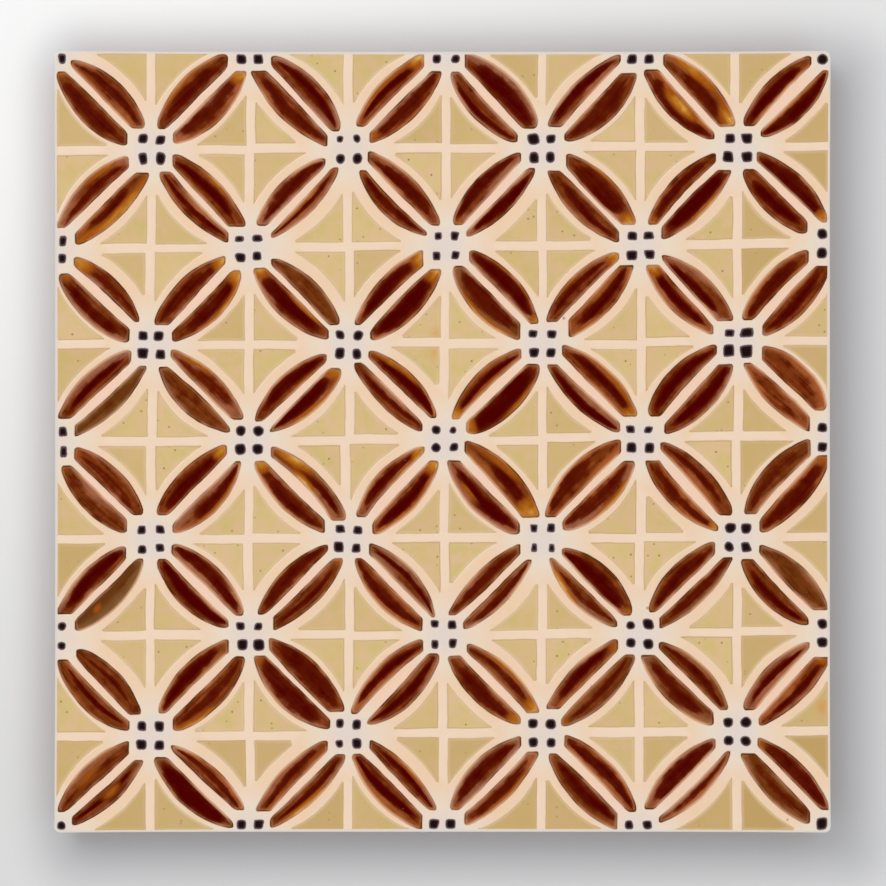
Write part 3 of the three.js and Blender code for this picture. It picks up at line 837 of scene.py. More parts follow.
    (1, 6, low): dict(rib=(0, -0.2, -0.1), arc=(0.7, 0.6, 0.5), gold=[(0.2, 0.95, 4, 0.9, 0.9)]),
    (2, 6, up): dict(arc=(0.7, 0.5, 0.6), rib=(0, 0.5, 0.5), wide=0.42),
    (2, 6, low): dict(arc=(0.5, 0.7, 0.3), wide=0.42),
    (3, 6, up): dict(rib=(-0.9, -0.9, 0.1), arc=(0.8, 0.4, 0.6)),
    (4, 6, up): dict(gold=[(0.45, 0.95, 5, 0.8, 0.8), goldenRight]),
    (4, 6, low): dict(wide=0.34, gold=[goldenRight]),
    (5, 6, up): dict(arc=(0.6, -0.1, 0.5), gold=[(0.96, 0.5, 1.5, 2, 0.45)]),
    (6, 6, low): dict(arc=(0.9, 0.6, 0.5)),
    (7, 6, up): dict(rib=(0.3, -0.4, -0.9), ends=(0.1, -0.8)),
    (7, 6, low): dict(rib=(-0.5, 0, 0.3), ends=(0, -0.5), gold=[(0.97, 0.5, 1.2, 2, 0.5)]),
    (0, 7, up): dict(arc=(0.9, 0.3, 0.3), rib=(-0.7, -0.1, 0.3), ends=(0.4, 0), wide=0.13,
        tones=(0.2, 0.4), olive=0.25, gold=[(0.45, 0.5, 4, 1, 0.4)]),
    (0, 7, low): dict(rib=(0.5, -0.3, -0.6), ends=(0.9, -0.6), wide=0.14, olive=0.3,
        gold=[(0.55, 0.4, 2.5, 1, 0.4)]),
    (1, 7, up): dict(arc=(-0.2, -0.5, 0.5), wide=0.2),
    (1, 7, low): dict(rib=(0, -0.3, -0.6), arc=(0.6, 0.7, 0.6), wide=0.42),
    (2, 7, up): dict(arc=(0.3, -0.5, 0.4), rib=(0.8, 0.3, 0.3), ends=(0.4, 0.2)),
    (2, 7, low): dict(rib=(-0.3, -0.5, -0.3), arc=(0.8, -0.1, 0.9), wide=0.2,
        gold=[(0.4, 0.95, 5, 0.8, 1.2)]),
    (3, 7, up): dict(arc=(0.3, -0.6, 0.3), wide=0.18, gold=[(0.5, 1, 5, 0.7, 0.9)]),
    (3, 7, low): dict(arc=(0.6, 0.5, 0.9)),
    (4, 7, low): dict(arc=(0.5, -0.3, 0.6), ends=(0, 0.6), gold=[(0.5, 1, 6, 0.7, 0.9)]),
    (5, 7, up): dict(rib=(-0.7, -0.6, -0.6), arc=(0.8, 0.6, 0.8)),
    (6, 7, up): dict(wide=0.4),
    (6, 7, low): dict(rib=(-0.2, -0.8, -0.5), arc=(-0.1, -0.6, 0.2), deep=0.6),
    (7, 7, up): dict(wide=0.4),
    (7, 7, low): dict(deep=0.6, olive=0.5, ends=(0, -0.7)),
}


# What is drawn by lot: a value's middle and spread, or its lowest and highest
leafLots = {
    "rib": (-0.1, 0.2), "arc": ((0.3, 0.25), (0.1, 0.3), (0.3, 0.25)), "ends": (0.15, 0.25),
    "margins": ((0.4, 2.0), (0.4, 2.0), (0.4, 1.5)), "swayStart": (0, 6.3), "swayTurns": (3, 9),
    "rounding": (0.4, 1.3), "tones": (0, 1), "core": (0.38, 0.62), "wide": (0.16, 0.32),
    "reach": (0.2, 2.4), "deep": (0.7, 1.15),
    "oliveTop": -0.14, "oliveGrowth": 0.03, "oliveSpread": 0.2,  # lower rows lean a little to olive
    "crisp": ((0, 0.12), (0.1, 0.12)),  # on top of what the margins give
    # a golden spot at one end of some leaves
    "goldShare": 0.2, "goldEnds": (0.03, 0.97), "goldAcross": (0.3, 0.8), "goldSize": 1.4,
    "goldStrength": (0.2, 0.5),
}


def leafLook(column, row, half, dice):
    lots = leafLots
    look = {
        "rib": [dice.gauss(*lots["rib"]) for _ in range(3)],
        "arc": [dice.gauss(*lot) for lot in lots["arc"]],
        "ends": [dice.gauss(*lots["ends"]) for _ in range(2)],
        "margins": [dice.uniform(*lot) for lot in lots["margins"]],
        "sway": [(dice.uniform(*lots["swayStart"]), dice.uniform(*lots["swayTurns"])) for _ in range(2)],
        "rounding": [dice.uniform(*lots["rounding"]) for _ in range(2)],
        "tones": [dice.uniform(*lots["tones"]) for _ in range(2)],
        "core": [dice.uniform(*lots["core"]) for _ in range(2)],
        "wide": dice.uniform(*lots["wide"]),
        "reach": [dice.uniform(*lots["reach"]) for _ in range(2)],
        "deep": dice.uniform(*lots["deep"]),
        "olive": max(0, dice.gauss(lots["oliveTop"] + lots["oliveGrowth"] * row, lots["oliveSpread"])),
        "crisp": [dice.gauss(*lot) for lot in lots["crisp"]],
        "gold": [],
    }
    if dice.random() < lots["goldShare"]:
        look["gold"].append((dice.choice(lots["goldEnds"]), dice.uniform(*lots["goldAcross"]),
                             lots["goldSize"], lots["goldSize"], dice.uniform(*lots["goldStrength"])))
    look.update(leafQuirks.get((column, row, half), {}))
    return look


# How the glaze lies in a half leaf, t being the share of the way from the rib edge to the arc edge
leafLay = {
    "marginSway": 0.45,  # how much a margin widens and narrows along the leaf, as a share of it
    "crispMost": 1.2, "crispLoss": 0.62,  # narrow margins are the crisper ones
    "toArc": (0.3, 0.7),  # where what holds at the rib edge gives way to what holds at the arc edge
    "lineDepth": 0.08,  # how much deeper the glaze stands at a fully crisp edge
    # the dark core, wider in the middle of the leaf: how it fades aside and towards the ends
    "coreSwell": (0.8, 0.3), "coreEdge": (0.3, 1.5), "reachEdge": (-2.4, 1.6), "reachCurve": 0.8,
    "endDepth": 0.35, "endCrisp": 0.95, "endWidth": 1.2, "endRim": 0.75,
    "coreByGold": 0.9, "crispByGold": 0.5,  # how much of each full gold takes away
}


def leafGlaze(look, share, place, length, t, width):
    lay = leafLay
    near = min(place, length - place)
    fromEdges = (t * width, (1 - t) * width)
    gold = sum(strength * math.exp(-((share - along) * length / long) ** 2
                                   - ((t - over) * width / wide) ** 2)
               for along, over, long, wide, strength in look["gold"])
    margins = [margin * (1 + lay["marginSway"] * math.sin(start + turns * share))
               for margin, (start, turns) in zip(look["margins"], look["sway"])]
    crisps = [min(1, max(0, lay["crispMost"] - lay["crispLoss"] * margin + more))
              for margin, more in zip(margins, look["crisp"])]
    depths = [distance / margin + lay["lineDepth"] * crisp
              for distance, margin, crisp in zip(fromEdges, margins, crisps)]
    swell = lay["coreSwell"][0] + lay["coreSwell"][1] * math.sin(math.pi * share)
    off = abs(t - mix(*look["core"], share)) / look["wide"] / swell
    core = look["deep"] * (1 - ease(*lay["coreEdge"], off)) * (1 - lay["coreByGold"] * min(1, gold))
    for reach, along in zip(look["reach"], (place, length - place)):
        core *= ease(*lay["reachEdge"], along - reach - lay["reachCurve"] * off)
    toArc = ease(*lay["toArc"], t)
    crisp = mix(lay["endCrisp"], mix(*crisps, toArc), ease(0, lay["endWidth"], near))
    return {"depth": min(*depths, (lay["endDepth"] + near) / look["margins"][2], 1), "core": core,
            "gold": gold, "crisp": crisp * (1 - lay["crispByGold"] * min(1, gold)),
            "olive": look["olive"], "tone": mix(*look["tones"], toArc),
            "rim": min(*fromEdges, lay["endRim"] * near)}


def leafPatch(column, row, half, index):
    dice = random.Random(f"leaf {column} {row} {half}")
    look = leafLook(column, row, half, dice)
    seed = dice.uniform(0, leaf["flowSpan"])
    down = 1 if half == low else 0
    across = (column + row + down + 1) % 2
    corner = (column, row, across, down)
    shift = leaf["midrib"] / math.sqrt(2)
    gaps = [leaf["endGap"] - longer for longer in look["ends"]]
    if across:
        gaps.reverse()
    ribEnds = ((gaps[0] - shift, pitch - gaps[0]), (pitch - gaps[1], gaps[1] - shift))
    turns = (math.pi / 2 - math.asin(gaps[0] / leafRadius), math.asin(gaps[1] / leafRadius))
    length = math.dist(*ribEnds)
    first, last = leaf["firstStation"], length - leaf["firstStation"]
    places = list(leaf["endSteps"])
    places += [mix(first, last, k / leaf["stations"]) for k in range(leaf["stations"] + 1)]
    places += [length - step for step in reversed(leaf["endSteps"])]
    patch = []
    for place in places:
        share = place / length  # from the left end of the leaf to its right end
        turned = 1 - share if across else share
        ribMove = leaf["ribGrow"] + leaf["ribHand"] * through(look["rib"], share)
        arcMove = leaf["arcGrow"] + through(look["arc"], share)
        # the edges move along the lattice at the ends, which keeps the ends cut square to it
        way = (-math.sqrt(2) * (1 - turned), -math.sqrt(2) * turned)
        rib = [part - step * ribMove for part, step in zip(between(*ribEnds, turned), way)]
        arc = [part + step * arcMove
               for part, step in zip(arcPoint(leafRadius, mix(*turns, turned)), way)]
        width = math.dist(rib, arc)
        pulls = []
        rounding = look["rounding"][0 if share < 0.5 else 1]
        for long, deep in (leaf["ribRounding"], leaf["arcRounding"]):
            slack = 1 - min(1, min(place, length - place) / (long * rounding))
            pull = min(deep * rounding, leaf["mostRounding"] * width)
            pulls.append(pull * (1 - math.sqrt(1 - slack * slack)) / width)
        rib, arc = between(rib, arc, pulls[0]), between(arc, rib, pulls[1])
        width *= 1 - sum(pulls)
        for t in leaf["across"]:
            patch.append(poolPoint(
                leaf, index, insideRim(*toTile(corner, between(rib, arc, t))), (share, t),
                flow=(place, t * width, seed), **leafGlaze(look, share, place, length, t, width)))
    wide, long = len(leaf["across"]), len(places)
    faces = [(s * wide + t, (s + 1) * wide + t, (s + 1) * wide + t + 1, s * wide + t + 1)
             for s in range(long - 1) for t in range(wide - 1)]
    shore = [s * wide for s in range(long)]
    shore += [(long - 1) * wide + t for t in range(1, wide)]
    shore += [s * wide + wide - 1 for s in range(long - 2, -1, -1)]
    shore += range(wide - 2, 0, -1)
    return patch, shore, faces


cells = [(column, row) for row in range(lattice["cells"]) for column in range(lattice["cells"])]


def cornersWhere(plain):  # of all cells, at the dotted crossings (0) or at the plain ones (1)
    return [(column, row, across, down) for column, row in cells
            for across in (0, 1) for down in (0, 1) if (column + row + across + down) % 2 == plain]


brown = makeBrownGlaze()
for lean, odd in (("rising", 1), ("falling", 0)):
    for half in (up, low):
        build = newBuild("depth", "core", "gold", "rim", "crisp", "tone", "olive", "flow")
        chosen = [cell for cell in cells if sum(cell) % 2 == odd]
        for index, (column, row) in enumerate(chosen):
            addPool(build, "brownStain", leafPatch(column, row, half, index))
        makePiece(f"{lean}_leaves_{half}", build, brown)
print("leaves poured")

# The corner fields. rings are shares of the way from the corner to the hollow side
field = {
    "band": 1.75, "crossLine": 1.75, "rays": 14,
    "rings": (0, 0.06, 0.2, 0.38, 0.56, 0.72, 0.85, 0.94, 1),
    "sag": 0.05, "meniscus": 1.2, "grid": (8, 8),
    # drawn by lot: a value's middle and spread, or its lowest and highest
    "lineLot": (0, 0.16), "insetLot": (0, 0.05), "radiusLot": (0, 0.08), "tipLot": (0.5, 0.35),
    "flareLot": (0.3, 0.15),  # how much flatter the arc runs out at its tips
    "greenLot": (0.15, 0.2), "crispLot": (0.3, 0.85), "softerLot": (0, 0.5), "strongLot": (0.12, 0.16),
    # how much darker the ochre lies in the fields along each side of the tile
    "strongAt": {"left": 0.12, "right": 0.45, "top": 0.18, "bottom": 0.48},
    "leastTip": 0.3,
    "tipEdge": (0.72, 1.0), "tipStrength": 0.6,  # where the tips turn pinkish, as shares of the way out
    # orange stains in three fields: place from the field's square corner, in mm, and strength
    "stains": {(7, 6, 1, 1): (2.5, 4.5, 0.9), (3, 2, 1, 1): (1.6, 1.7, 0.6),
               (3, 3, 1, 0): (2.1, 1.3, 0.6)},
    "stainHeight": 1.6,
}
fieldRadius = leafRadius + field["band"]


def fieldInset(line, beside, far, sides):  # from a lattice line, which strays a little between crossings
    if line in (0, lattice["cells"]):
        return lattice["rim"] - lattice[sides[1 if line else 0]]
    stray = random.Random(f"line {line} {beside} {sides}").gauss(*field["lineLot"])
    return field["crossLine"] / 2 + (-stray if far else stray)


# how dark a field's ochre is: a share by lot, and more in the fields along each side of the tile
def fieldDarkness(column, row, dice):
    strength = dice.gauss(*field["strongLot"])
    last = lattice["cells"] - 1
    for line, sides in ((column, ("left", "right")), (row, ("top", "bottom"))):
        for side, at in zip(sides, (0, last)):
            strength += field["strongAt"][side] if line == at else 0
    return max(0, strength)


def fieldPatch(corner, index):
    column, row, across, down = corner
    dice = random.Random(f"field {corner}")
    insetX = fieldInset(column + across, row, across, ("left", "right")) + dice.gauss(*field["insetLot"])
    insetY = fieldInset(row + down, column, down, ("top", "bottom")) + dice.gauss(*field["insetLot"])
    radius = fieldRadius + dice.gauss(*field["radiusLot"])
    wideRadius = radius + max(0, dice.gauss(*field["flareLot"]))
    tips = [max(field["leastTip"], dice.gauss(*field["tipLot"])) for _ in (0, 1)]
    green = max(0, dice.gauss(*field["greenLot"]))
    crisp = dice.uniform(*field["crispLot"])
    softer = dice.uniform(*field["softerLot"])
    strong = fieldDarkness(column, row, dice)
    ends = math.acos((pitch - insetY) / wideRadius), math.asin((pitch - insetX) / wideRadius)
    far = [(pitch - wideRadius * math.sin(ends[0]) - tips[0], insetY)]
    for k in range(field["rays"] + 1):
        turn = mix(ends[0] + tips[0] / radius, ends[1] - tips[1] / radius, k / field["rays"])
        outward = (2 * (turn - ends[0]) / (ends[1] - ends[0]) - 1) ** 2
        far.append(arcPoint(mix(radius, wideRadius, outward), turn))
    far.append((insetX, pitch - wideRadius * math.cos(ends[1]) - tips[1]))
    reach = math.dist(far[0], (insetX, insetY))
    patch = []
    for share in field["rings"]:
        for end in far if share else far[:1]:
            point = between((insetX, insetY), end, share)
            straight = min(point[0] - insetX, point[1] - insetY)
            hollow = math.dist(point, (pitch, pitch)) - radius
            rim = max(0, min(straight, hollow))
            stainX, stainY, stain = field["stains"].get(corner, (0, 0, 0))
            stain *= math.exp(-(point[0] - stainX) ** 2 - ((point[1] - stainY) / field["stainHeight"]) ** 2)
            away = math.dist(point, (insetX, insetY)) / reach
            # crisp: how strong the painted shadow line of the well's wall stands, weaker on the hollow side
            patch.append(poolPoint(
                field, index, insideRim(*toTile(corner, point)), [part / pitch for part in point], rim,
                crisp=crisp * (softer if hollow < straight else 1), green=green, strong=strong,
                tip=field["tipStrength"] * ease(*field["tipEdge"], away), stain=stain))
    count, rings = len(far), len(field["rings"]) - 1
    faces, at = fan(rings, count, closed=False)
    shore = [at(ring, 0) for ring in range(rings + 1)]
    shore += [at(rings, ray) for ray in range(1, count)]
    shore += [at(ring, count - 1) for ring in range(rings - 1, 0, -1)]
    return patch, shore, faces


ochre = makeOchreGlaze()
for name, odd in (("rising_fields", 1), ("falling_fields", 0)):
    build = newBuild("rim", "crisp", "green", "strong", "tip", "stain")
    chosen = [corner for corner in cornersWhere(1) if sum(corner[:2]) % 2 == odd]
    for index, corner in enumerate(chosen):
        addPool(build, "ochreStain", fieldPatch(corner, index))
    makePiece(name, build, ochre)
print("corner fields poured")

# The dots. A quirk is for the dots of one crossing:
# sizes: of the upper left, upper right, lower left and lower right dot, as shares of the usual size
# tall: height over width of the upper and of the lower pair
# square: how square they are, 2 being round
# shift: how far they all lie to the right and upwards
dot = {
    "size": 1.85, "spacing": (3.37, 3.62), "points": 16, "rings": (0, 0.5, 0.8, 1),
    "sag": 0.025, "meniscus": 0.5, "deepAt": 0.6, "grid": (12, 12),
    "mapSpan": 1.6,  # how many usual dots wide a dot's box on the map is
    "cornerGap": 0.12,  # how much further the tile's own corners keep from the sides
    # drawn by lot for a whole crossing: the lowest and the highest
    "sizes": (0.85, 1.05), "square": (2.8, 6.0),
    # drawn by lot for each dot, or for each of its points
    "halfLot": (0.95, 1.05), "squareLot": (0, 0.6), "leastSquare": 2, "leanLot": (0, 0.05),
    "skewLot": (0, 0.08), "taperLot": (-0.16, 0.16), "placeLot": (0, 0.09), "edgeLot": (-0.035, 0.035),
    "depthLot": (-0.1, 0.1),
}
dotQuirks = {
    (1, 7): dict(sizes=(0.98, 0.98, 1.05, 1.02), tall=(1.15, 1), square=4),
    (0, 0): dict(tall=(1, 1.45), shift=(-0.3, 0)),
    (8, 0): dict(sizes=(1, 1, 1.12, 1), square=2.3),
    (0, 8): dict(sizes=(1, 0.88, 1, 1), square=2.3, shift=(-0.3, 0)),
    (8, 8): dict(sizes=(1.18, 1, 1, 1), tall=(1.15, 1), shift=(0.1, 0.5)),
    (0, 2): dict(tall=(1.5, 1.25), shift=(-0.3, 0)),
    (0, 4): dict(tall=(1.3, 1.8), shift=(-0.3, 0)),
    (0, 6): dict(square=2.6, shift=(-0.2, 0)),
    (8, 2): dict(sizes=(1.05, 1, 1.12, 1), tall=(1, 1.1)),
    (1, 1): dict(sizes=(1, 0.95, 1.02, 1.1), tall=(1, 1.4)),
    (3, 1): dict(sizes=(0.66, 0.82, 0.93, 1.08), square=2.2, tall=(1.1, 1.1)),
    (5, 1): dict(sizes=(1.18, 0.94, 1.06, 1.04), tall=(1, 1.3), square=4),
    (7, 1): dict(sizes=(1, 1.05, 1.1, 1.12), square=6),
    (2, 2): dict(sizes=(0.76, 0.84, 0.98, 0.9), tall=(0.7, 0.95), square=4),
    (4, 2): dict(sizes=(0.74, 0.84, 0.85, 0.8), tall=(1.1, 1.15)),
    (6, 2): dict(sizes=(0.92, 0.9, 1.05, 1), tall=(0.82, 0.9)),
    (1, 3): dict(sizes=(0.98, 0.98, 1.05, 1)),
    (3, 3): dict(sizes=(0.9, 1.02, 1.06, 1), tall=(1.1, 1.15)),
    (5, 3): dict(sizes=(0.8, 0.9, 0.95, 0.95), tall=(0.9, 1)),
    (7, 3): dict(sizes=(0.86, 1.12, 1.18, 1.3), tall=(0.74, 1.05), square=6),
    (2, 4): dict(sizes=(1.05, 1.12, 1.12, 1.1), tall=(1, 0.95)),
    (4, 4): dict(sizes=(0.88, 0.68, 0.94, 0.9), square=2.6),
    (6, 4): dict(sizes=(0.86, 0.78, 1.02, 1), tall=(0.9, 1.08)),
    (3, 5): dict(sizes=(0.86, 0.86, 1.02, 0.9), tall=(0.9, 1.1)),
    (5, 5): dict(sizes=(0.74, 0.84, 0.7, 0.68), tall=(1.25, 1.45)),
    (7, 5): dict(sizes=(1.08, 1.05, 1.02, 1.02), tall=(1, 1.15), square=3),
    (2, 6): dict(sizes=(0.84, 0.78, 1.14, 1.16)),
    (4, 6): dict(sizes=(0.76, 0.88, 0.82, 0.84), tall=(1, 1.25)),
    (6, 6): dict(sizes=(0.88, 1.14, 0.92, 1.08), square=2.8),
    (3, 7): dict(sizes=(0.86, 0.98, 0.76, 1.04), tall=(1.15, 1.15), square=3),
    (5, 7): dict(sizes=(0.96, 1.06, 1, 0.94), square=2.5),
    (7, 7): dict(sizes=(1, 1.14, 0.98, 1.04), square=2.8),
}


def dotPatch(corner, index):
    column, row, across, down = corner
    crossing = (column + across, row + down)
    dice = random.Random(f"dot {corner}")
    crossingDice = random.Random(f"crossing {crossing}")
    look = {"sizes": [crossingDice.uniform(*dot["sizes"])] * 4,
            "square": crossingDice.uniform(*dot["square"]), "tall": (1, 1), "shift": (0, 0)}
    look.update(dotQuirks.get(crossing, {}))
    size = dot["size"] / 2 * look["sizes"][(0 if down else 2) + (0 if across else 1)]
    tall = math.sqrt(look["tall"][0 if down else 1])
    half = [size / tall * dice.uniform(*dot["halfLot"]), size * tall * dice.uniform(*dot["halfLot"])]
    square = max(dot["leastSquare"], look["square"] + dice.gauss(*dot["squareLot"]))
    lean, skew = dice.gauss(*dot["leanLot"]), dice.gauss(*dot["skewLot"])
    taper = dice.uniform(*dot["taperLot"])
    sideLines = (0, lattice["cells"])
    middle = [0 if line in sideLines else spacing / 2 + dice.gauss(*dot["placeLot"])
              for line, spacing in zip(crossing, dot["spacing"])]
    middleX, middleY = toTile(corner, middle)
    atCorner = all(line in sideLines for line in crossing)
    gap = max(half) + (dot["cornerGap"] if atCorner else 0)
    middleX, middleY = insideRim(middleX + look["shift"][0], middleY + look["shift"][1], gap)
    shore = []
    for k in range(dot["points"]):
        turn = 2 * math.pi * k / dot["points"]
        reach = (abs(math.cos(turn)) ** square + abs(math.sin(turn)) ** square) ** (-1 / square)
        reach *= 1 + dice.uniform(*dot["edgeLot"])
        x, y = reach * math.cos(turn), reach * math.sin(turn)
        shore.append((half[0] * (x * (1 + taper * y) + skew * y), half[1] * y))
    patch = []
    for share in dot["rings"]:
        for x, y in shore if share else shore[:1]:
            rim = (1 - share) * min(half)
            turnedX = x * math.cos(lean) - y * math.sin(lean)
            turnedY = x * math.sin(lean) + y * math.cos(lean)
            place = insideRim(middleX + share * turnedX, middleY + share * turnedY)
            mapPlace = (0.5 + share * part / dot["size"] / dot["mapSpan"] for part in (x, y))
            depth = ease(0, dot["deepAt"], rim) + dice.uniform(*dot["depthLot"])
            patch.append(poolPoint(dot, index, place, mapPlace, rim, depth=depth))
    rings = len(dot["rings"]) - 1
    faces, at = fan(rings, dot["points"], closed=True)
    return patch, [at(rings, k) for k in range(dot["points"])], faces


build = newBuild("rim", "depth")
for index, corner in enumerate(cornersWhere(0)):
    addPool(build, "darkStain", dotPatch(corner, index))
makePiece("dots", build, makeDarkGlaze())
print("dots poured")

# The cream coat, from its face round the arris and down the edges to the lower glaze line
coat = {
    "slack": 0.01, "faceSlack": 0.001,  # how far the coat keeps inside the tile's full size
    "arris": 0.22, "arrisSteps": 5, "sideSteps": 40, "cornerSteps": 8, "skirtLevels": (1.2, 2.6, 4.0),
    # the lower glaze line: how far above the solid's it lies, and how far and how quickly it wavers
    "lineRise": 0.3, "lineWaver": 0.5, "lineWave": 9.0, "wavePlace": 3.0,
    "bead": [(0.45, 0.0), (0.2, 0.03), (0.04, 0.12), (0.0, 0.26)],  # above the line, inset
    "underRise": 0.05,
    "nearest": 1e-7,  # places of the face closer than this are one
}


def tileOutline(inset):  # anticlockwise from the lower end of the right side
    outline = []
    radius = tile["cornerRadius"] - inset
    for side in range(4):
        reach, half = tile["halfWidth"], tile["halfHeight"]
        if side % 2:
            reach, half = half, reach
        straight = half - tile["cornerRadius"]
        reach -= coat["slack"]
        stretch = []
        for step in range(coat["sideSteps"] + 1):
            along = straight * (2 * step / coat["sideSteps"] - 1)
            stretch.append((reach - inset - bowAt(along, half), along))
        for step in range(1, coat["cornerSteps"]):
            turn = step / coat["cornerSteps"] * math.pi / 2
            stretch.append((reach - tile["cornerRadius"] + radius * math.cos(turn),
                            straight - coat["slack"] * step / coat["cornerSteps"]
                            + radius * math.sin(turn)))
        for x, y in stretch:
            for _ in range(side):
                x, y = -y, x
            outline.append((x, y))
    return outline


def coatUv(x, y, drop=0):  # the face seen flat, with the edges folded out round it
    span = 2 * (tile["halfHeight"] + tile["face"])
    size = math.hypot(x, y) or 1
    edge = max(abs(x) / tile["halfWidth"], abs(y) / tile["halfHeight"])
    grow = drop / size * edge * math.sqrt(1 + min(abs(x), abs(y)) ** 2 / max(abs(x), abs(y), 1) ** 2)
    return 0.5 + x * (1 + grow) / span, 0.5 + y * (1 + grow) / span


def glazeLineAt(x, y):
    drift = noise.noise(Vector((x / coat["lineWave"], y / coat["lineWave"], coat["wavePlace"])))
    return tile["glazeLine"] + coat["lineRise"] + coat["lineWaver"] * drift


def makeCoat():
    build = newBuild("brownStain", "ochreStain", "darkStain")
    face = tile["face"] - coat["faceSlack"]

    def addRing(places):
        return [addPoint(build, (x, y, z), coatUv(x, y, tile["face"] - z)) for x, y, z in places]

    def levelRing(outline, height):
        return addRing([(x, y, height) for x, y in outline])

    def lineRing(outline, above):  # follows the lower glaze line
        return addRing([(x, y, glazeLineAt(x, y) + above) for x, y in outline])

    def addFlat(loop, drop, **values):
        return [addPoint(build, (x, y, face - drop), coatUv(x, y), **values) for x, y in loop]

    rings = []
    for step in range(coat["arrisSteps"] + 1):
        turn = step / coat["arrisSteps"] * math.pi / 2
        outline = tileOutline(coat["arris"] * (1 - math.sin(turn)))
        rings.append(levelRing(outline, face - coat["arris"] * (1 - math.cos(turn))))
    for drop in coat["skirtLevels"]:
        rings.append(levelRing(tileOutline(0), face - drop))
    for above, inset in coat["bead"]:
        rings.append(lineRing(tileOutline(inset), above))
    visible = len(rings) - 1
    inner = tileOutline(tile["edgeGlaze"] - coat["slack"])
    rings.append(lineRing(inner, coat["underRise"]))
    rings.append(levelRing(inner, tile["clayTop"]))
    for k in range(len(rings) - 1):
        addBand(build, rings[k], rings[k + 1], hidden=k >= visible)
    addFace(build, rings[-1][::-1], hidden=True)

    # the lips and walls of the wells, each from its lip down to its floor
    lips = []
    for one in wells:
        levels = [addFlat(grown(one["loop"], reach) if reach else one["loop"], drop,
                          **{one["stain"]: stain}) for reach, drop, stain in well["lip"]]
        levels.append(addFlat(one["loop"], well["depth"] - coat["faceSlack"]))
        for higher, lower in zip(levels, levels[1:]):
            addBand(build, lower, higher)
        addFace(build, levels[-1])
        lips.append(levels[0])

    # the face between the lips
    edges = [rings[0]] + lips
    used = [k for loop in edges for k in loop]
    flat = [Vector(build["points"][k][:2]) for k in used]
    loops, start = [], 0
    for loop in edges:
        loops.append(list(range(start, start + len(loop))))
        start += len(loop)
    places, _, triangles, fromPoints, _, fromFaces = delaunay_2d_cdt(
        flat, [], loops, 1, coat["nearest"], True)
    known, crossings = [], 0
    for place, source in zip(places, fromPoints):
        if source:
            known.append(used[source[0]])
        else:
            known.append(addFlat([place], 0)[0])
            crossings += 1
    for triangle, sources in zip(triangles, fromFaces):
        if all(source == 0 for source in sources):
            addFace(build, [known[k] for k in triangle])
    print("face joined, crossings of loops:", crossings)
    return makePiece("cream_coat", build, makeCreamGlaze())


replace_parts(makeCoat(), "glaze_coat")

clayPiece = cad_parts["clay_body"]
clayPiece.data.materials.clear()
clayPiece.data.materials.append(makeClay())
print("coat and clay finished")

# The table it lies on, paler towards the upper left as a painted falloff of the light, with a painted
# shadow round the tile
table = {
    "size": 3000, "reach": 95, "roughness": 0.9, "specular": 0.1,
    "upperLeft": (246, 246, 246), "upperRight": (228, 228, 228),
    "lowerLeft": (218, 218, 218), "lowerRight": (220, 220, 220),
    # the painted shadow round the tile: its tone close to the tile, how far it reaches, and how far it lies
    # aside
    "shade": (220, 221, 225), "paintedShadowReach": 15, "paintedShadowShift": (4.3, -3.4),
}


def makeTable():
    mesh = bpy.data.meshes.new("table")
    reach = table["size"] / 2 * mm
    mesh.from_pydata([(-reach, -reach, 0), (reach, -reach, 0), (reach, reach, 0), (-reach, reach, 0)], [],
                     [(0, 1, 2, 3)])
    material, tree, surface = newMaterial("table")
    parts = addNode(tree, "ShaderNodeSeparateXYZ", {0: placeInMm(tree)}).outputs
    # a painted falloff of the light, paler towards the upper left
    shareX, shareY = (fade(tree, parts[k], -table["reach"], table["reach"]) for k in (0, 1))
    upper = mixColour(tree, shareX, table["upperLeft"], table["upperRight"])
    lower = mixColour(tree, shareX, table["lowerLeft"], table["lowerRight"])
    # a painted shadow round the tile, shifted towards the lower right and fading out by its reach
    aside = []
    for part, shift, half in zip(parts, table["paintedShadowShift"], (tile["halfWidth"], tile["halfHeight"])):
        distance = calc(tree, "ABSOLUTE", calc(tree, "SUBTRACT", part, shift))
        aside.append(calc(tree, "MAXIMUM", calc(tree, "SUBTRACT", distance, half), 0.0))
    away = calc(tree, "SQRT", calc(tree, "MULTIPLY_ADD", aside[0], aside[0],
                                   calc(tree, "MULTIPLY", aside[1], aside[1])))
    shade = mixColour(tree, fade(tree, away, 0.0, table["paintedShadowReach"]), table["shade"], (1, 1, 1, 1))
    colour = mixColour(tree, 1.0, mixColour(tree, shareY, lower, upper), shade, "MULTIPLY")
    tree.links.new(colour, surface.inputs["Base Color"])
    surface.inputs["Roughness"].default_value = table["roughness"]
    surface.inputs["Specular IOR Level"].default_value = table["specular"]
    mesh.materials.append(material)
    addObject("table", mesh)


makeTable()

# A soft dome of light, dark overhead where the camera hangs, and one broad lamp at the upper left
light = {
    # the dome by degrees from overhead: dark to the first, full between the middle two, low beyond
    "dome": 1.42, "zones": (20, 32, 52, 70), "lowDome": 0.2, "backdrop": (236, 236, 236),
    "lampDistance": 1400, "lampSize": 870, "lampHeight": 50, "lampTurn": 135, "lampPower": 3.6,
}


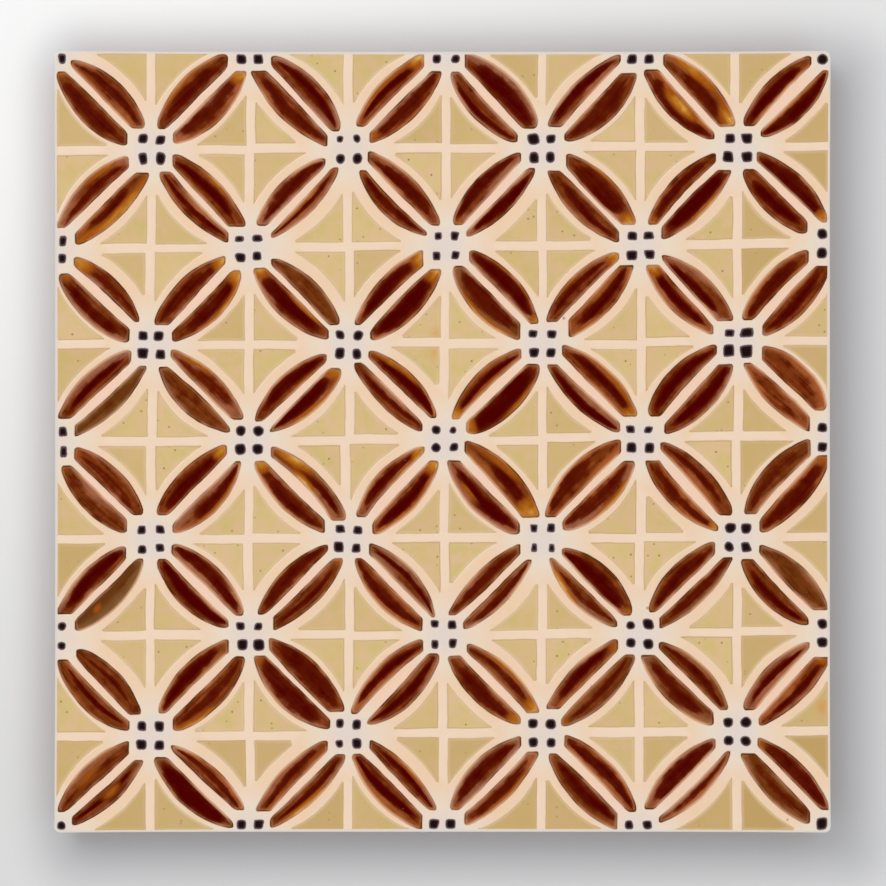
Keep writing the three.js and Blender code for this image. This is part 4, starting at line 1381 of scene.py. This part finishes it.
def makeLight():
    world = bpy.data.worlds.new("dome")
    bpy.context.scene.world = world
    world.use_nodes = True
    tree = world.node_tree
    tree.nodes.clear()
    way = addNode(tree, "ShaderNodeTexCoord").outputs["Generated"]
    rise = addNode(tree, "ShaderNodeSeparateXYZ", {0: way}).outputs[2]
    top, upper, lower, foot = (math.cos(math.radians(angle)) for angle in light["zones"])
    level = calc(tree, "MULTIPLY", fade(tree, rise, upper, top, light["dome"], 0.0),
                 fade(tree, rise, foot, lower, light["lowDome"], 1.0))
    dome = addNode(tree, "ShaderNodeBackground", {"Color": (1, 1, 1, 1), "Strength": level})
    seen = addNode(tree, "ShaderNodeBackground", {"Color": light["backdrop"], "Strength": 1.0})
    ray = addNode(tree, "ShaderNodeLightPath").outputs["Is Camera Ray"]
    both = addNode(tree, "ShaderNodeMixShader", {0: ray, 1: dome.outputs[0], 2: seen.outputs[0]})
    leaving = addNode(tree, "ShaderNodeOutputWorld")
    tree.links.new(both.outputs[0], leaving.inputs["Surface"])

    lamp = bpy.data.lights.new("lamp", "AREA")
    lamp.shape = "DISK"
    lamp.size = light["lampSize"] * mm
    lamp.energy = light["lampPower"]
    height, turn = math.radians(light["lampHeight"]), math.radians(light["lampTurn"])
    back = Vector((math.cos(turn) * math.cos(height), math.sin(turn) * math.cos(height),
                   math.sin(height)))
    holder = addObject("lamp", lamp)
    holder.location = back * light["lampDistance"] * mm
    holder.rotation_euler = back.to_track_quat("Z", "Y").to_euler()


makeLight()

# The photograph's frame: how large the tile's face shows in it and where its middle lies
camera = {
    "lens": 100, "sensor": 36, "picture": 886, "pixelsPerMm": 5.18, "middle": (442.5, 441.8),
}


def makeCamera():
    data = bpy.data.cameras.new("camera")
    data.lens = camera["lens"]
    data.sensor_width = camera["sensor"]
    holder = addObject("camera", data)
    frameWidth = camera["picture"] / camera["pixelsPerMm"]
    distance = frameWidth * camera["lens"] / camera["sensor"]
    offX = (camera["picture"] / 2 - camera["middle"][0]) / camera["pixelsPerMm"]
    offY = (camera["middle"][1] - camera["picture"] / 2) / camera["pixelsPerMm"]
    holder.location = Vector((offX, offY, tile["face"] + distance)) * mm
    bpy.context.scene.camera = holder


makeCamera()
bpy.context.scene.view_settings.view_transform = "Standard"
print("stage, light and camera set")
